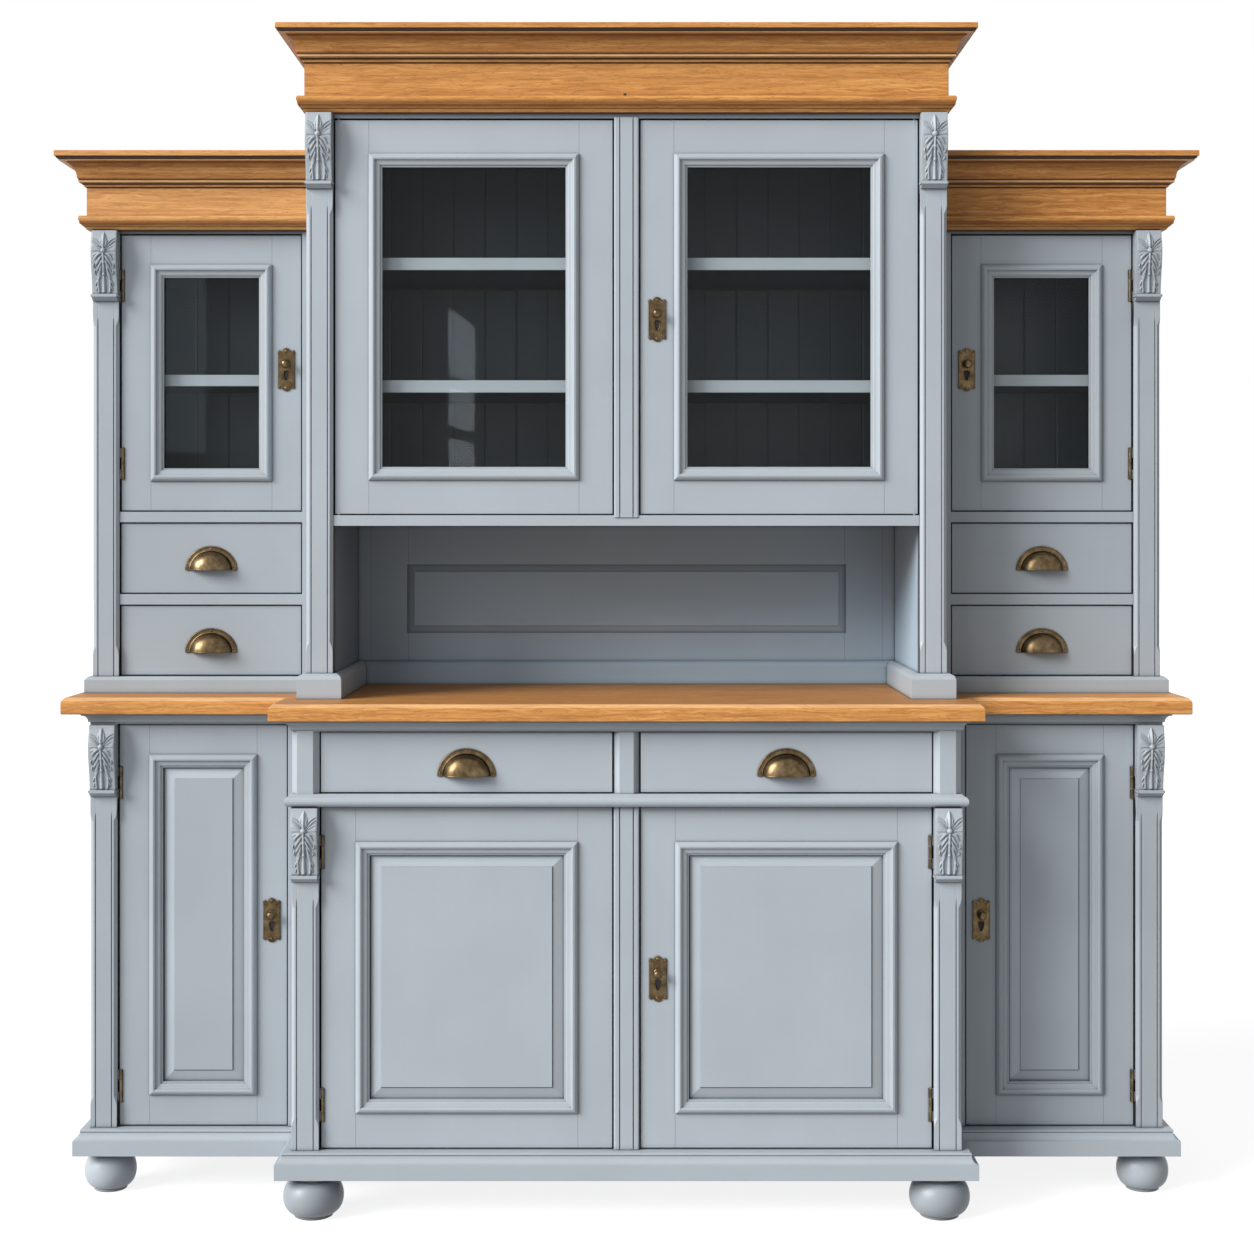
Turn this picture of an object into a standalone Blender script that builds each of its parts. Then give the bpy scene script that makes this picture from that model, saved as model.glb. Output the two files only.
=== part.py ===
"""Breakfront kitchen dresser with painted base and upper units, an oak worktop and oak cornices.

Metres, +Z up, the front faces -Y. The origin is on the floor, under the middle of the dresser.
"""

import math

import bmesh
import bpy
from mathutils import Matrix, Vector

# Fits: the gap between pieces that touch, and the gap round a door or a drawer front
SEAT = 0.0003
DOOR_GAP = 0.0025
HINGE_GAP = 0.003

# Depths from the wall to the pilaster faces
BASE_CENTRE_DEPTH = 0.465
BASE_WING_DEPTH = 0.325
UPPER_CENTRE_DEPTH = 0.373
UPPER_WING_DEPTH = 0.240

# Widths of the units, of their uprights and of the fixed middle posts
BASE_CENTRE_WIDTH = 1.168
BASE_WING_WIDTH = 0.386
UPPER_CENTRE_WIDTH = 1.145
UPPER_WING_WIDTH = 0.4145
CENTRE_PILASTER = 0.048
BASE_WING_PILASTER = 0.048
UPPER_WING_PILASTER = 0.048
PILASTER_THICK = 0.032
BASE_WING_STILE = 0.0295
UPPER_WING_STILE = 0.0285
STILE_SETBACK = 0.006
MULLION = 0.045
MULLION_SETBACK = 0.004

# Worktop
WORKTOP_TOP = 0.900
WORKTOP_THICK = 0.0304
WORKTOP_OVERHANG = 0.030
WORKTOP_CENTRE_SIDE = 0.036
WORKTOP_WING_SIDE = 0.046
WORKTOP_EDGE = 0.010

# Plinth and feet
FOOT_HEIGHT = 0.0755
CENTRE_FOOT_RADIUS = 0.053
WING_FOOT_RADIUS = 0.0465
CENTRE_FOOT_INSET = 0.035
WING_FOOT_INSET = 0.028
CENTRE_FOOT_SETBACK = 0.0
WING_FOOT_SETBACK = 0.017
REAR_FOOT = 0.060
PLINTH_HEIGHT = 0.0445
PLINTH_OUT = 0.026
PLINTH_RAIL = 0.105
PLINTH_REAR_RAIL = 0.080

# Boards of the carcasses
SIDE_BOARD = 0.018
BACK_BOARD = 0.008
DEEP_SIDE = 0.048

# Heights in the base units
CENTRE_TOP_RAIL = 0.0188
WING_TOP_RAIL = 0.0188
CAVETTO_OUT = 0.014
BASE_DRAWER_OPENING = 0.1095
TORUS_RAIL = 0.0215
TORUS_OUT = 0.0115
DUST_BOARD = 0.018
BASE_SHELF_RISE = 0.300
END_BLOCK_BEVEL = 0.010

# Heights in the upper centre unit
NICHE_HEIGHT = 0.3084
NICHE_RAIL = 0.0191
UPPER_CENTRE_HEIGHT = 1.0463
UPPER_CENTRE_STRIP = 0.009
CENTRE_SHELF = 0.022
CENTRE_SHELF_RISES = (0.2215, 0.4425)
SHELF_CLEAT = 0.012
SHELF_SETBACK = 0.006

# Heights in the upper wings
UPPER_WING_HEIGHT = 0.8547
WING_SKIRTING = 0.030
LOWER_DRAWER_OPENING = 0.1325
WING_RAIL = 0.0195
UPPER_DRAWER_OPENING = 0.133
UPPER_WING_STRIP = 0.0055
WING_SHELF = 0.021
WING_SHELF_RISE = 0.2345

# Skirting on the worktop, round the niche and the pilaster feet
SKIRTING_HEIGHT = 0.045
SKIRTING_OUT = 0.0145
SKIRTING_BEVEL = 0.010
NICHE_SKIRTING = 0.017
NICHE_BACK_SKIRTING = 0.013
WING_SKIRTING_OUT = 0.013

# Niche back panel
NICHE_BACK_THICK = 0.012
NICHE_FIELD_HALF_WIDTH = 0.429
NICHE_FIELD_BOTTOM = 0.099
NICHE_FIELD_TOP = 0.233
NICHE_FIELD_BEVEL = 0.014
NICHE_FIELD_SINK = 0.005

# Doors
DOOR_SETBACK = 0.010
DOOR_THICK = 0.021
CENTRE_DOOR_STILE = 0.060
WING_DOOR_STILE = 0.054
MOULDING_WIDTH = 0.024
MOULDING_PROUD = 0.009
GROOVE_DEPTH = 0.006
PANEL_EDGE = 0.0089
PANEL_BEVEL = 0.020
FIELD_STEP = 0.0015
GLASS_THICK = 0.004
BACK_BEAD = 0.005
DOOR_SWING = math.radians(95)

# Butt hinges of the doors that show them, and pivot pins of the upper centre doors
HINGE_RADIUS = 0.003
HINGE_INSET = 0.0022
HINGE_PROUD = 0.001
HINGE_LENGTH = 0.058
HINGE_MIDDLE = 0.022
HINGE_PLAY = 0.0004
LEAF_FRONT = 0.0009
LEAF_BACK = 0.0005
BASE_CENTRE_HINGES = (0.046, 0.049)
BASE_WING_HINGES = (0.042, 0.076)
UPPER_WING_HINGES = (0.058, 0.064)
PIVOT_INSET = 0.006
PIVOT_SETBACK = 0.002
PIVOT_RADIUS = 0.0025
PIVOT_LENGTH = 0.006

# Drawers
DRAWER_FRONT = 0.018
DRAWER_SIDE = 0.012
DRAWER_FLOOR = 0.009
DRAWER_HEADROOM = 0.019
BASE_TRAY_BACK_GAP = 0.039
WING_TRAY_BACK_GAP = 0.019

# Cup pulls: width, height, projection and the flange round the cup
CENTRE_PULL_WIDTH = 0.102
CENTRE_PULL_HEIGHT = 0.0485
WING_PULL_WIDTH = 0.096
WING_PULL_HEIGHT = 0.0445
PULL_DEEP = 0.025
PULL_WALL = 0.0018
PULL_FLANGE = 0.008
PULL_FLANGE_THICK = 0.002

# Escutcheon plates with their knobs and keyholes
PLATE_WIDTH = 0.030
PLATE_HEIGHT = 0.080
PLATE_THICK = 0.0016
PLATE_CREST = 0.006
KNOB_RADIUS = 0.0078
KNOB_REACH = 0.019
KNOB_RISE = 0.010
KEYHOLE_DROP = 0.007
KEYHOLE_RADIUS = 0.0048
KEYHOLE_SLOT = 0.0040
KEYHOLE_LENGTH = 0.011
UPPER_WING_KEY = 0.261
UPPER_CENTRE_KEY = 0.348
BASE_WING_KEY = 0.371
BASE_CENTRE_KEY = 0.295

# Pilasters: chamfer, grooves, stops and the corbel's side profile (height, projection)
CHAMFER = 0.0055
ARRIS = 0.0004
GROOVE_IN = 0.0095
GROOVE_WIDTH = 0.0024
GROOVE_CUT = 0.0016
STOP_BELOW_CORBEL = 0.030
STOP_ABOVE_BASE = 0.040
STOP_LENGTH = 0.016
CORBEL_HEIGHT = 0.129
UPPER_CENTRE_CORBEL_HEIGHT = 0.134
CORBEL_TOP_GAP = 0.0015
CORBEL_LEDGE = 0.012
CORBEL_LEDGE_OUT = 0.0145
CORBEL_START_OUT = 0.0085
CORBEL_BULGE = 0.0205
CORBEL_TOP_FALL = 0.0070
CORBEL_SIDE = 0.001
LEDGE_SIDE = 0.001
MULLION_BEAD = 0.0096
MULLION_ROUND = 0.0035

# Cornices: the heights of their parts, bottom to top, and the overhang of the top edge
CENTRE_CORNICE = (0.0170, 0.0110, 0.0604, 0.0170, 0.0350, 0.0100)
WING_CORNICE = (0.0140, 0.0108, 0.0532, 0.0150, 0.0350, 0.0105)
CENTRE_CORNICE_OUT = 0.0475
WING_CORNICE_OUT = 0.057
CENTRE_CORNICE_BASE_OUT = 0.0025
WING_CORNICE_BASE_OUT = 0.009
CORNICE_WALL = 0.022

# Places worked out from the sizes above
BACK = (BASE_CENTRE_DEPTH + WORKTOP_OVERHANG) / 2
BASE_CENTRE_FACE = BACK - BASE_CENTRE_DEPTH
BASE_WING_FACE = BACK - BASE_WING_DEPTH
UPPER_CENTRE_FACE = BACK - UPPER_CENTRE_DEPTH
UPPER_WING_FACE = BACK - UPPER_WING_DEPTH
BASE_CENTRE_HALF = BASE_CENTRE_WIDTH / 2
BASE_WING_HALF = BASE_CENTRE_HALF + BASE_WING_WIDTH
UPPER_CENTRE_HALF = UPPER_CENTRE_WIDTH / 2
UPPER_WING_HALF = UPPER_CENTRE_HALF + UPPER_WING_WIDTH
PLINTH_TOP = FOOT_HEIGHT + PLINTH_HEIGHT
BASE_FOOT = PLINTH_TOP + SEAT
BASE_TOP = WORKTOP_TOP - WORKTOP_THICK - SEAT
UPPER_FOOT = WORKTOP_TOP + SEAT
UPPER_CENTRE_TOP = WORKTOP_TOP + UPPER_CENTRE_HEIGHT
UPPER_WING_TOP = WORKTOP_TOP + UPPER_WING_HEIGHT
DRAWER_ROW_TOP = BASE_TOP - CENTRE_TOP_RAIL
DRAWER_ROW_FLOOR = DRAWER_ROW_TOP - BASE_DRAWER_OPENING
TORUS_UNDERSIDE = DRAWER_ROW_FLOOR - TORUS_RAIL
LONG = 2.0

PARTS = bpy.data.collections.new("kitchen_dresser")
TOOLS = bpy.data.collections.new("cutters")


def clear_scene():
    for old in list(bpy.data.objects):
        bpy.data.objects.remove(old, do_unlink=True)
    for collection in (PARTS, TOOLS):
        bpy.context.scene.collection.children.link(collection)


def finish_material(name, colour, roughness, metallic=0.0, transmission=0.0):
    material = bpy.data.materials.new(name)
    material.use_nodes = True
    shader = material.node_tree.nodes["Principled BSDF"]
    shader.inputs["Base Color"].default_value = (*colour, 1.0)
    shader.inputs["Roughness"].default_value = roughness
    shader.inputs["Metallic"].default_value = metallic
    shader.inputs["Transmission Weight"].default_value = transmission
    return material


PAINT = finish_material("grey_blue_paint", (0.39, 0.45, 0.51), 0.40)
OAK = finish_material("oiled_oak", (0.62, 0.31, 0.11), 0.45)
BRASS = finish_material("antique_brass", (0.26, 0.15, 0.06), 0.38, metallic=1.0)
GLASS = finish_material("clear_glass", (0.90, 0.94, 0.94), 0.03, transmission=1.0)


# Making meshes


def object_from(bm, name, material):
    """Turns a bmesh into an object of the dresser, with its faces pointing out."""
    bmesh.ops.recalc_face_normals(bm, faces=bm.faces)
    mesh = bpy.data.meshes.new(name)
    bm.to_mesh(mesh)
    bm.free()
    mesh.materials.append(material)
    piece = bpy.data.objects.new(name, mesh)
    PARTS.objects.link(piece)
    return piece


def loft(name, rings, material, closed=False):
    """A skin through rings of points that all have as many points, capped at both ends or closed."""
    bm = bmesh.new()
    loops = [[bm.verts.new(point) for point in ring] for ring in rings]
    pairs = list(zip(loops, loops[1:]))
    if closed:
        pairs.append((loops[-1], loops[0]))
    else:
        bm.faces.new(loops[0])
        bm.faces.new(loops[-1])
    for first, second in pairs:
        for i in range(len(first)):
            j = (i + 1) % len(first)
            bm.faces.new((first[i], first[j], second[j], second[i]))
    return object_from(bm, name, material)


def moulded_block(name, plan, levels, material):
    """A block drawn in plan as (x, y, move_x, move_y), whose moulded edges follow levels of
    (height, projection) from bottom to top.
    """
    rings = []
    for height, out in levels:
        rings.append([(x + move_x * out, y + move_y * out, height) for x, y, move_x, move_y in plan])
    return loft(name, rings, material)


def prism(name, outline, low, high, material):
    """A flat outline of (x, y) points, extruded from one height to another."""
    return moulded_block(name, [(x, y, 0, 0) for x, y in outline], [(low, 0), (high, 0)], material)


def block(name, x, y, z, material=None):
    """A plain board between pairs of coordinates."""
    bm = bmesh.new()
    bmesh.ops.create_cube(bm, size=1.0)
    low = Vector((min(x), min(y), min(z)))
    high = Vector((max(x), max(y), max(z)))
    bmesh.ops.transform(bm, matrix=Matrix.Diagonal((*(high - low), 1.0)), verts=bm.verts)
    piece = object_from(bm, name, material or PAINT)
    piece.location = (low + high) / 2
    return piece


def rod(name, centre, radius, low, high, material, sides=16):
    """An upright round bar at (x, y)."""
    bm = bmesh.new()
    bmesh.ops.create_cone(
        bm, cap_ends=True, segments=sides, radius1=radius, radius2=radius, depth=high - low
    )
    piece = object_from(bm, name, material)
    piece.location = (centre[0], centre[1], (low + high) / 2)
    return piece


def turned(name, profile, steps, material):
    """A turned piece: its profile of (radius, height) runs from the top centre to the bottom centre."""
    mesh = bpy.data.meshes.new(name)
    points = [(radius, 0.0, height) for radius, height in profile]
    mesh.from_pydata(points, [(i, i + 1) for i in range(len(points) - 1)], [])
    mesh.materials.append(material)
    piece = bpy.data.objects.new(name, mesh)
    PARTS.objects.link(piece)
    screw = piece.modifiers.new("turn", "SCREW")
    screw.steps = steps
    screw.render_steps = steps
    screw.use_merge_vertices = True
    screw.merge_threshold = 0.00001
    screw.use_smooth_shade = True
    return piece


def applied(piece):
    """Makes what the piece's modifiers give its own mesh."""
    bpy.context.view_layer.update()
    evaluated = piece.evaluated_get(bpy.context.evaluated_depsgraph_get())
    mesh = bpy.data.meshes.new_from_object(evaluated)
    piece.modifiers.clear()
    old = piece.data
    piece.data = mesh
    bpy.data.meshes.remove(old)
    mesh.name = piece.name
    return piece


def combine(piece, tools, operation):
    """Joins or cuts a piece with each tool in turn, and removes the tools."""
    for tool in tools:
        PARTS.objects.unlink(tool)
        TOOLS.objects.link(tool)
        tool.hide_render = True
        tool.display_type = "WIRE"
        boolean = piece.modifiers.new("shape", "BOOLEAN")
        boolean.operation = operation
        boolean.solver = "EXACT"
        boolean.object = tool
        applied(piece)
        bpy.data.objects.remove(tool, do_unlink=True)
    return piece


def join(piece, *tools):
    return combine(piece, tools, "UNION")


def cut(piece, *tools):
    return combine(piece, tools, "DIFFERENCE")


def stand_up(piece, location):
    """Stands a piece that was built lying on its back: its plan becomes its front."""
    piece.matrix_world = Matrix.Translation(location) @ Matrix.Rotation(math.radians(90), 4, "X")
    return piece


def hang_on(pivot_name, location, pieces):
    """Parents the pieces of a moving body to an empty on its joint's axis."""
    pivot = bpy.data.objects.new(pivot_name, None)
    pivot.location = location
    pivot.empty_display_size = 0.05
    PARTS.objects.link(pivot)
    bpy.context.view_layer.update()
    for piece in pieces:
        piece.parent = pivot
        piece.matrix_parent_inverse = pivot.matrix_world.inverted()


def smooth(piece, degrees=35):
    piece.data.shade_smooth()
    piece.data.set_sharp_from_angle(angle=math.radians(degrees))
    return piece


# Plans: the front is moulded, and so are the sides that stand free


def centre_plan(half, face, back):
    return [(-half, back, -1, 0), (-half, face, -1, -1), (half, face, 1, -1), (half, back, 1, 0)]


def mitred_centre_plan(half, face, back):
    """A centre plan whose returns end in mitres, for a moulding that goes on along the wings."""
    return [(-half, back, -1, -1), (-half, face, -1, -1), (half, face, 1, -1), (half, back, 1, -1)]


def mitred_wing_plan(side, inner, outer, face, back):
    """The wing's share of that moulding, from its mitre in the inner corner to the back."""
    return [
        (side * inner, back, 0, 0),
        (side * inner, face + 0.001, 0, 0),
        (side * inner, face, side, -1),
        (side * outer, face, side, -1),
        (side * outer, back, side, 0),
    ]


def wing_plan(side, inner, outer, face, back):
    return [
        (side * inner, back, 0, 0),
        (side * inner, face, 0, -1),
        (side * outer, face, side, -1),
        (side * outer, back, side, 0),
    ]


def breakfront_plan(centre_half, centre_face, wing_half, wing_face):
    right = [
        (centre_half, centre_face, 1, -1),
        (centre_half, wing_face, 1, -1),
        (wing_half, wing_face, 1, -1),
        (wing_half, BACK, 1, 0),
    ]
    left = [(-x, y, -move_x, move_y) for x, y, move_x, move_y in reversed(right)]
    return left + right


# Mouldings, as levels of (height, projection)


def cavetto_levels(low, high):
    """The hollow moulding under the worktop."""
    rise = high - low
    fillet = 0.003
    levels = [(low, 0.0), (low + fillet, 0.0), (low + fillet + 0.0002, 0.003)]
    curve = rise - 2 * fillet - 0.0004
    for step in range(1, 6):
        angle = math.radians(90 * step / 5)
        out = 0.003 + (CAVETTO_OUT - 0.004) * (1 - math.cos(angle))
        levels.append((low + fillet + 0.0002 + curve * math.sin(angle), out))
    levels.append((high - fillet, CAVETTO_OUT))
    levels.append((high, CAVETTO_OUT))
    return levels


def torus_levels(low, high):
    """The rounded rail under the drawers, with a slope on top."""
    rise = high - low
    levels = [(low, 0.5 * TORUS_OUT)]
    for step in range(6):
        angle = math.radians(-50 + 26 * step)
        out = TORUS_OUT * (0.30 + 0.70 * math.cos(angle))
        levels.append((low + rise * (0.42 + 0.42 * math.sin(angle)), out))
    levels.append((high - 0.0015, 0.0015))
    levels.append((high, 0.0))
    return levels


def plinth_levels():
    """A plain face, a hollow and a bead under the doors."""
    low = FOOT_HEIGHT
    high = PLINTH_TOP
    bead = 0.004
    hollow = 0.0125
    bead_out = PLINTH_OUT - 0.011
    levels = [(low, PLINTH_OUT), (high - bead - hollow - 0.0012, PLINTH_OUT)]
    for step in range(1, 6):
        angle = math.radians(90 * step / 5)
        out = PLINTH_OUT - 0.001 - (PLINTH_OUT - 0.001 - bead_out) * math.sin(angle)
        levels.append((high - bead - hollow * math.cos(angle) - 0.0008, out))
    levels.append((high - bead, bead_out - 0.0015))
    levels.append((high - bead + 0.0005, bead_out + 0.0005))
    levels.append((high - 0.001, bead_out + 0.0005))
    levels.append((high, bead_out - 0.001))
    return levels


def cornice_levels(low, heights, top_out, base_out):
    """Base steps, torus, frieze, two beads, hollow and top fillet. The frieze is set out by base_out."""
    base, torus, frieze, beads, hollow, fillet = heights
    out = base_out
    z = low
    levels = [
        (z, out),
        (z + 0.18 * base, out + 0.002),
        (z + 0.36 * base, out + 0.0035),
        (z + 0.38 * base, out + 0.0055),
        (z + 0.66 * base, out + 0.0085),
        (z + 0.68 * base, out + 0.0105),
        (z + base, out + 0.0115),
    ]
    z += base
    for step in range(6):
        angle = math.radians(-60 + 24 * step)
        height = z + torus * (0.5 + 0.46 * math.sin(angle) / math.sin(math.radians(60)))
        levels.append((height, out + 0.0095 + 0.0035 * math.cos(angle)))
    z += torus
    levels.append((z, out))
    z += frieze
    levels.append((z, out))
    reach = top_out - out
    levels.append((z + 0.0005, out + 0.07 * reach))
    levels.append((z + 0.40 * beads, out + 0.12 * reach))
    levels.append((z + 0.42 * beads, out + 0.19 * reach))
    levels.append((z + 0.95 * beads, out + 0.27 * reach))
    z += beads
    for step in range(11):
        angle = math.radians(90 * step / 10)
        height = z + (hollow - 0.004) * math.sin(angle)
        levels.append((height, out + reach * (0.30 + 0.60 * (1 - math.cos(angle)))))
    z += hollow
    levels.append((z - 0.0025, out + 0.94 * reach))
    levels.append((z, out + 0.94 * reach))
    levels.append((z + 0.0005, top_out))
    levels.append((z + fillet - 0.001, top_out))
    levels.append((z + fillet, top_out - 0.001))
    return levels


# Worktop, plinth and feet


def worktop():
    centre_half = BASE_CENTRE_HALF + WORKTOP_CENTRE_SIDE
    wing_half = BASE_WING_HALF + WORKTOP_WING_SIDE
    plan = breakfront_plan(
        centre_half, BASE_CENTRE_FACE - WORKTOP_OVERHANG, wing_half, BASE_WING_FACE - WORKTOP_OVERHANG
    )
    low = WORKTOP_TOP - WORKTOP_THICK
    edge = WORKTOP_EDGE
    levels = [
        (low, -0.0015),
        (low + 0.0015, 0.0),
        (WORKTOP_TOP - edge, 0.0),
        (WORKTOP_TOP - 0.60 * edge, -0.10 * edge),
        (WORKTOP_TOP - 0.18 * edge, -0.52 * edge),
        (WORKTOP_TOP - 0.04 * edge, -0.72 * edge),
        (WORKTOP_TOP, -edge),
    ]
    return moulded_block("worktop", plan, levels, OAK)


def plinth():
    """A moulded frame of rails, open in the middle of each unit, on square rear feet."""
    plan = breakfront_plan(BASE_CENTRE_HALF, BASE_CENTRE_FACE, BASE_WING_HALF, BASE_WING_FACE)
    frame = moulded_block("plinth", plan, plinth_levels(), PAINT)
    height = (FOOT_HEIGHT - 0.01, PLINTH_TOP + 0.01)
    rear = BACK - PLINTH_REAR_RAIL
    centre_open = BASE_CENTRE_HALF + PLINTH_OUT - PLINTH_RAIL
    wing_open = BASE_WING_HALF + PLINTH_OUT - PLINTH_RAIL
    centre_front = BASE_CENTRE_FACE - PLINTH_OUT + PLINTH_RAIL
    wing_front = BASE_WING_FACE - PLINTH_OUT + PLINTH_RAIL
    wing_start = BASE_CENTRE_HALF + REAR_FOOT
    cutters = [block("centre_open", (-centre_open, centre_open), (centre_front, rear), height)]
    feet = []
    for side in (-1, 1):
        cutters.append(
            block("wing_open", (side * wing_start, side * wing_open), (wing_front, rear), height)
        )
        for outer in (BASE_CENTRE_HALF, BASE_WING_HALF):
            feet.append(
                block(
                    "rear_foot",
                    (side * (outer - REAR_FOOT), side * outer),
                    (BACK - REAR_FOOT, BACK),
                    (0.0, PLINTH_TOP - 0.01),
                )
            )
    cut(frame, *cutters)
    return join(frame, *feet)


def foot(name, x, face, radius, setback):
    """A turned bun foot on a short neck, setback behind the plinth's front."""
    height = FOOT_HEIGHT - SEAT
    neck = 0.70 * radius
    base = 0.62 * radius
    base_height = 0.006
    shoulder = height - 0.006
    middle = (shoulder + base_height) / 2
    rise = (shoulder - base_height) / 2
    profile = [(0.0, height), (neck, height), (neck, shoulder + 0.001)]
    widest = math.radians(62)
    for step in range(7):
        angle = widest * (1 - step / 3)
        height_here = middle + rise * math.sin(angle) / math.sin(widest)
        profile.append((radius * math.cos(angle) ** 0.55, height_here))
    profile += [(base, base_height - 0.0008), (base, 0.0012), (base - 0.002, 0.0), (0.0, 0.0)]
    piece = turned(name, profile, 16, PAINT)
    piece.location = (x, face - PLINTH_OUT + setback + radius, 0.0)
    return piece


# Carcasses


def mullion(name, face, low, high, back):
    """A fixed middle post with rounded edges and a groove inside each of them."""
    half = MULLION / 2
    cut_in = MULLION_BEAD
    edge = MULLION_ROUND
    outline = [(-half, back), (-half, face + edge)]
    outline += [(-half + 0.13 * edge, face + 0.5 * edge), (-half + 0.5 * edge, face + 0.13 * edge)]
    outline += [(-half + edge, face)]
    outline += [(-half + cut_in, face), (-half + cut_in + 0.001, face + GROOVE_CUT)]
    outline += [(-half + cut_in + 0.002, face)]
    outline += [(-x, y) for x, y in reversed(outline)]
    return prism(name, outline, low, high, PAINT)


def base_centre_carcass():
    half = BASE_CENTRE_HALF
    face = BASE_CENTRE_FACE
    body_face = face + PILASTER_THICK + SEAT
    inner = half - SIDE_BOARD
    return_end = BASE_WING_FACE + STILE_SETBACK - SEAT
    piece = block("base_centre_carcass", (-half, half), (body_face, BACK), (BASE_FOOT, BASE_TOP))
    shelf_top = BASE_FOOT + BASE_SHELF_RISE + SIDE_BOARD
    depth = (body_face - LONG, BACK - BACK_BOARD)
    cupboard_top = DRAWER_ROW_FLOOR - DUST_BOARD
    cutters = [
        block("low", (-inner, inner), depth, (BASE_FOOT + SIDE_BOARD, BASE_FOOT + BASE_SHELF_RISE)),
        block("high", (-inner, inner), depth, (shelf_top, cupboard_top)),
    ]
    cut(piece, *cutters)
    overlap = 0.012
    end_in = half - CENTRE_PILASTER
    bevel = END_BLOCK_BEVEL
    row = (TORUS_UNDERSIDE + 0.005, BASE_TOP - 0.005)
    parts = [
        moulded_block(
            "torus_rail",
            centre_plan(half, face, return_end),
            torus_levels(TORUS_UNDERSIDE, DRAWER_ROW_FLOOR),
            PAINT,
        ),
        moulded_block(
            "top_rail",
            mitred_centre_plan(half, face, BASE_WING_FACE - SEAT),
            cavetto_levels(DRAWER_ROW_TOP, BASE_TOP),
            PAINT,
        ),
    ]
    for side in (-1, 1):
        outline = [
            (side * end_in, body_face + overlap),
            (side * end_in, face + bevel),
            (side * (end_in + bevel), face),
            (side * (half - bevel), face),
            (side * half, face + bevel),
            (side * half, body_face + overlap),
        ]
        parts.append(prism("end_block", outline, row[0], row[1], PAINT))
    middle = MULLION / 2
    post_face = face + MULLION_SETBACK
    divider = [
        (-middle, body_face + overlap),
        (-middle, post_face + bevel),
        (-middle + bevel, post_face),
        (middle - bevel, post_face),
        (middle, post_face + bevel),
        (middle, body_face + overlap),
    ]
    parts.append(prism("divider", divider, row[0], row[1], PAINT))
    post_top = TORUS_UNDERSIDE + 0.006
    parts.append(mullion("mullion", post_face, BASE_FOOT, post_top, body_face + overlap))
    join(piece, *parts)
    bays = []
    for side in (-1, 1):
        bays.append(
            block(
                "drawer_bay",
                (side * middle, side * end_in),
                depth,
                (DRAWER_ROW_FLOOR, DRAWER_ROW_TOP),
            )
        )
    return cut(piece, *bays)


def base_wing_carcass(name, side):
    inner = BASE_CENTRE_HALF + SEAT
    outer = BASE_WING_HALF
    face = BASE_WING_FACE
    body_face = face + PILASTER_THICK + SEAT
    opening = BASE_CENTRE_HALF + BASE_WING_STILE
    stile_face = face + STILE_SETBACK
    piece = block(name, (side * inner, side * outer), (body_face, BACK), (BASE_FOOT, BASE_TOP))
    shelf_top = BASE_FOOT + BASE_SHELF_RISE + SIDE_BOARD
    depth = (body_face - LONG, BACK - BACK_BOARD)
    width = (side * (inner + SIDE_BOARD), side * (outer - SIDE_BOARD))
    cut(
        piece,
        block("low", width, depth, (BASE_FOOT + SIDE_BOARD, BASE_FOOT + BASE_SHELF_RISE)),
        block("high", width, depth, (shelf_top, BASE_TOP - SIDE_BOARD)),
    )
    stile = block(
        "stile",
        (side * inner, side * opening),
        (stile_face, body_face + 0.012),
        (BASE_FOOT, BASE_TOP - 0.005),
    )
    rail = moulded_block(
        "top_rail",
        mitred_wing_plan(side, inner + 0.0005, outer, face, BACK - 0.0005),
        cavetto_levels(BASE_TOP - WING_TOP_RAIL, BASE_TOP),
        PAINT,
    )
    return join(piece, stile, rail)


def skirting():
    """The skirting round the pilaster feet, along the niche's sides and across its back."""
    front = UPPER_CENTRE_FACE - SKIRTING_OUT
    outer = UPPER_CENTRE_HALF + SKIRTING_OUT
    wall = UPPER_CENTRE_HALF - DEEP_SIDE
    inner = UPPER_CENTRE_HALF - CENTRE_PILASTER - NICHE_SKIRTING
    back = BACK - BACK_BOARD - NICHE_BACK_THICK - NICHE_BACK_SKIRTING
    outer_end = UPPER_WING_FACE - WING_SKIRTING_OUT - SEAT
    hidden = 0.008
    right = [
        (inner, back, -1, -1),
        (inner, front, -1, -1),
        (outer, front, 1, -1),
        (outer, outer_end, 1, 0),
        (UPPER_CENTRE_HALF - hidden, outer_end, 0, 0),
        (wall + hidden, back + NICHE_BACK_SKIRTING - SEAT, 0, 0),
    ]
    left = [(-x, y, -move_x, move_y) for x, y, move_x, move_y in reversed(right)]
    top = WORKTOP_TOP + SKIRTING_HEIGHT
    levels = [
        (UPPER_FOOT, 0.0),
        (top - SKIRTING_BEVEL, 0.0),
        (top - 0.35 * SKIRTING_BEVEL, -0.30 * SKIRTING_BEVEL),
        (top, -SKIRTING_BEVEL),
    ]
    return moulded_block("skirting", left + right, levels, PAINT)


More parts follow.
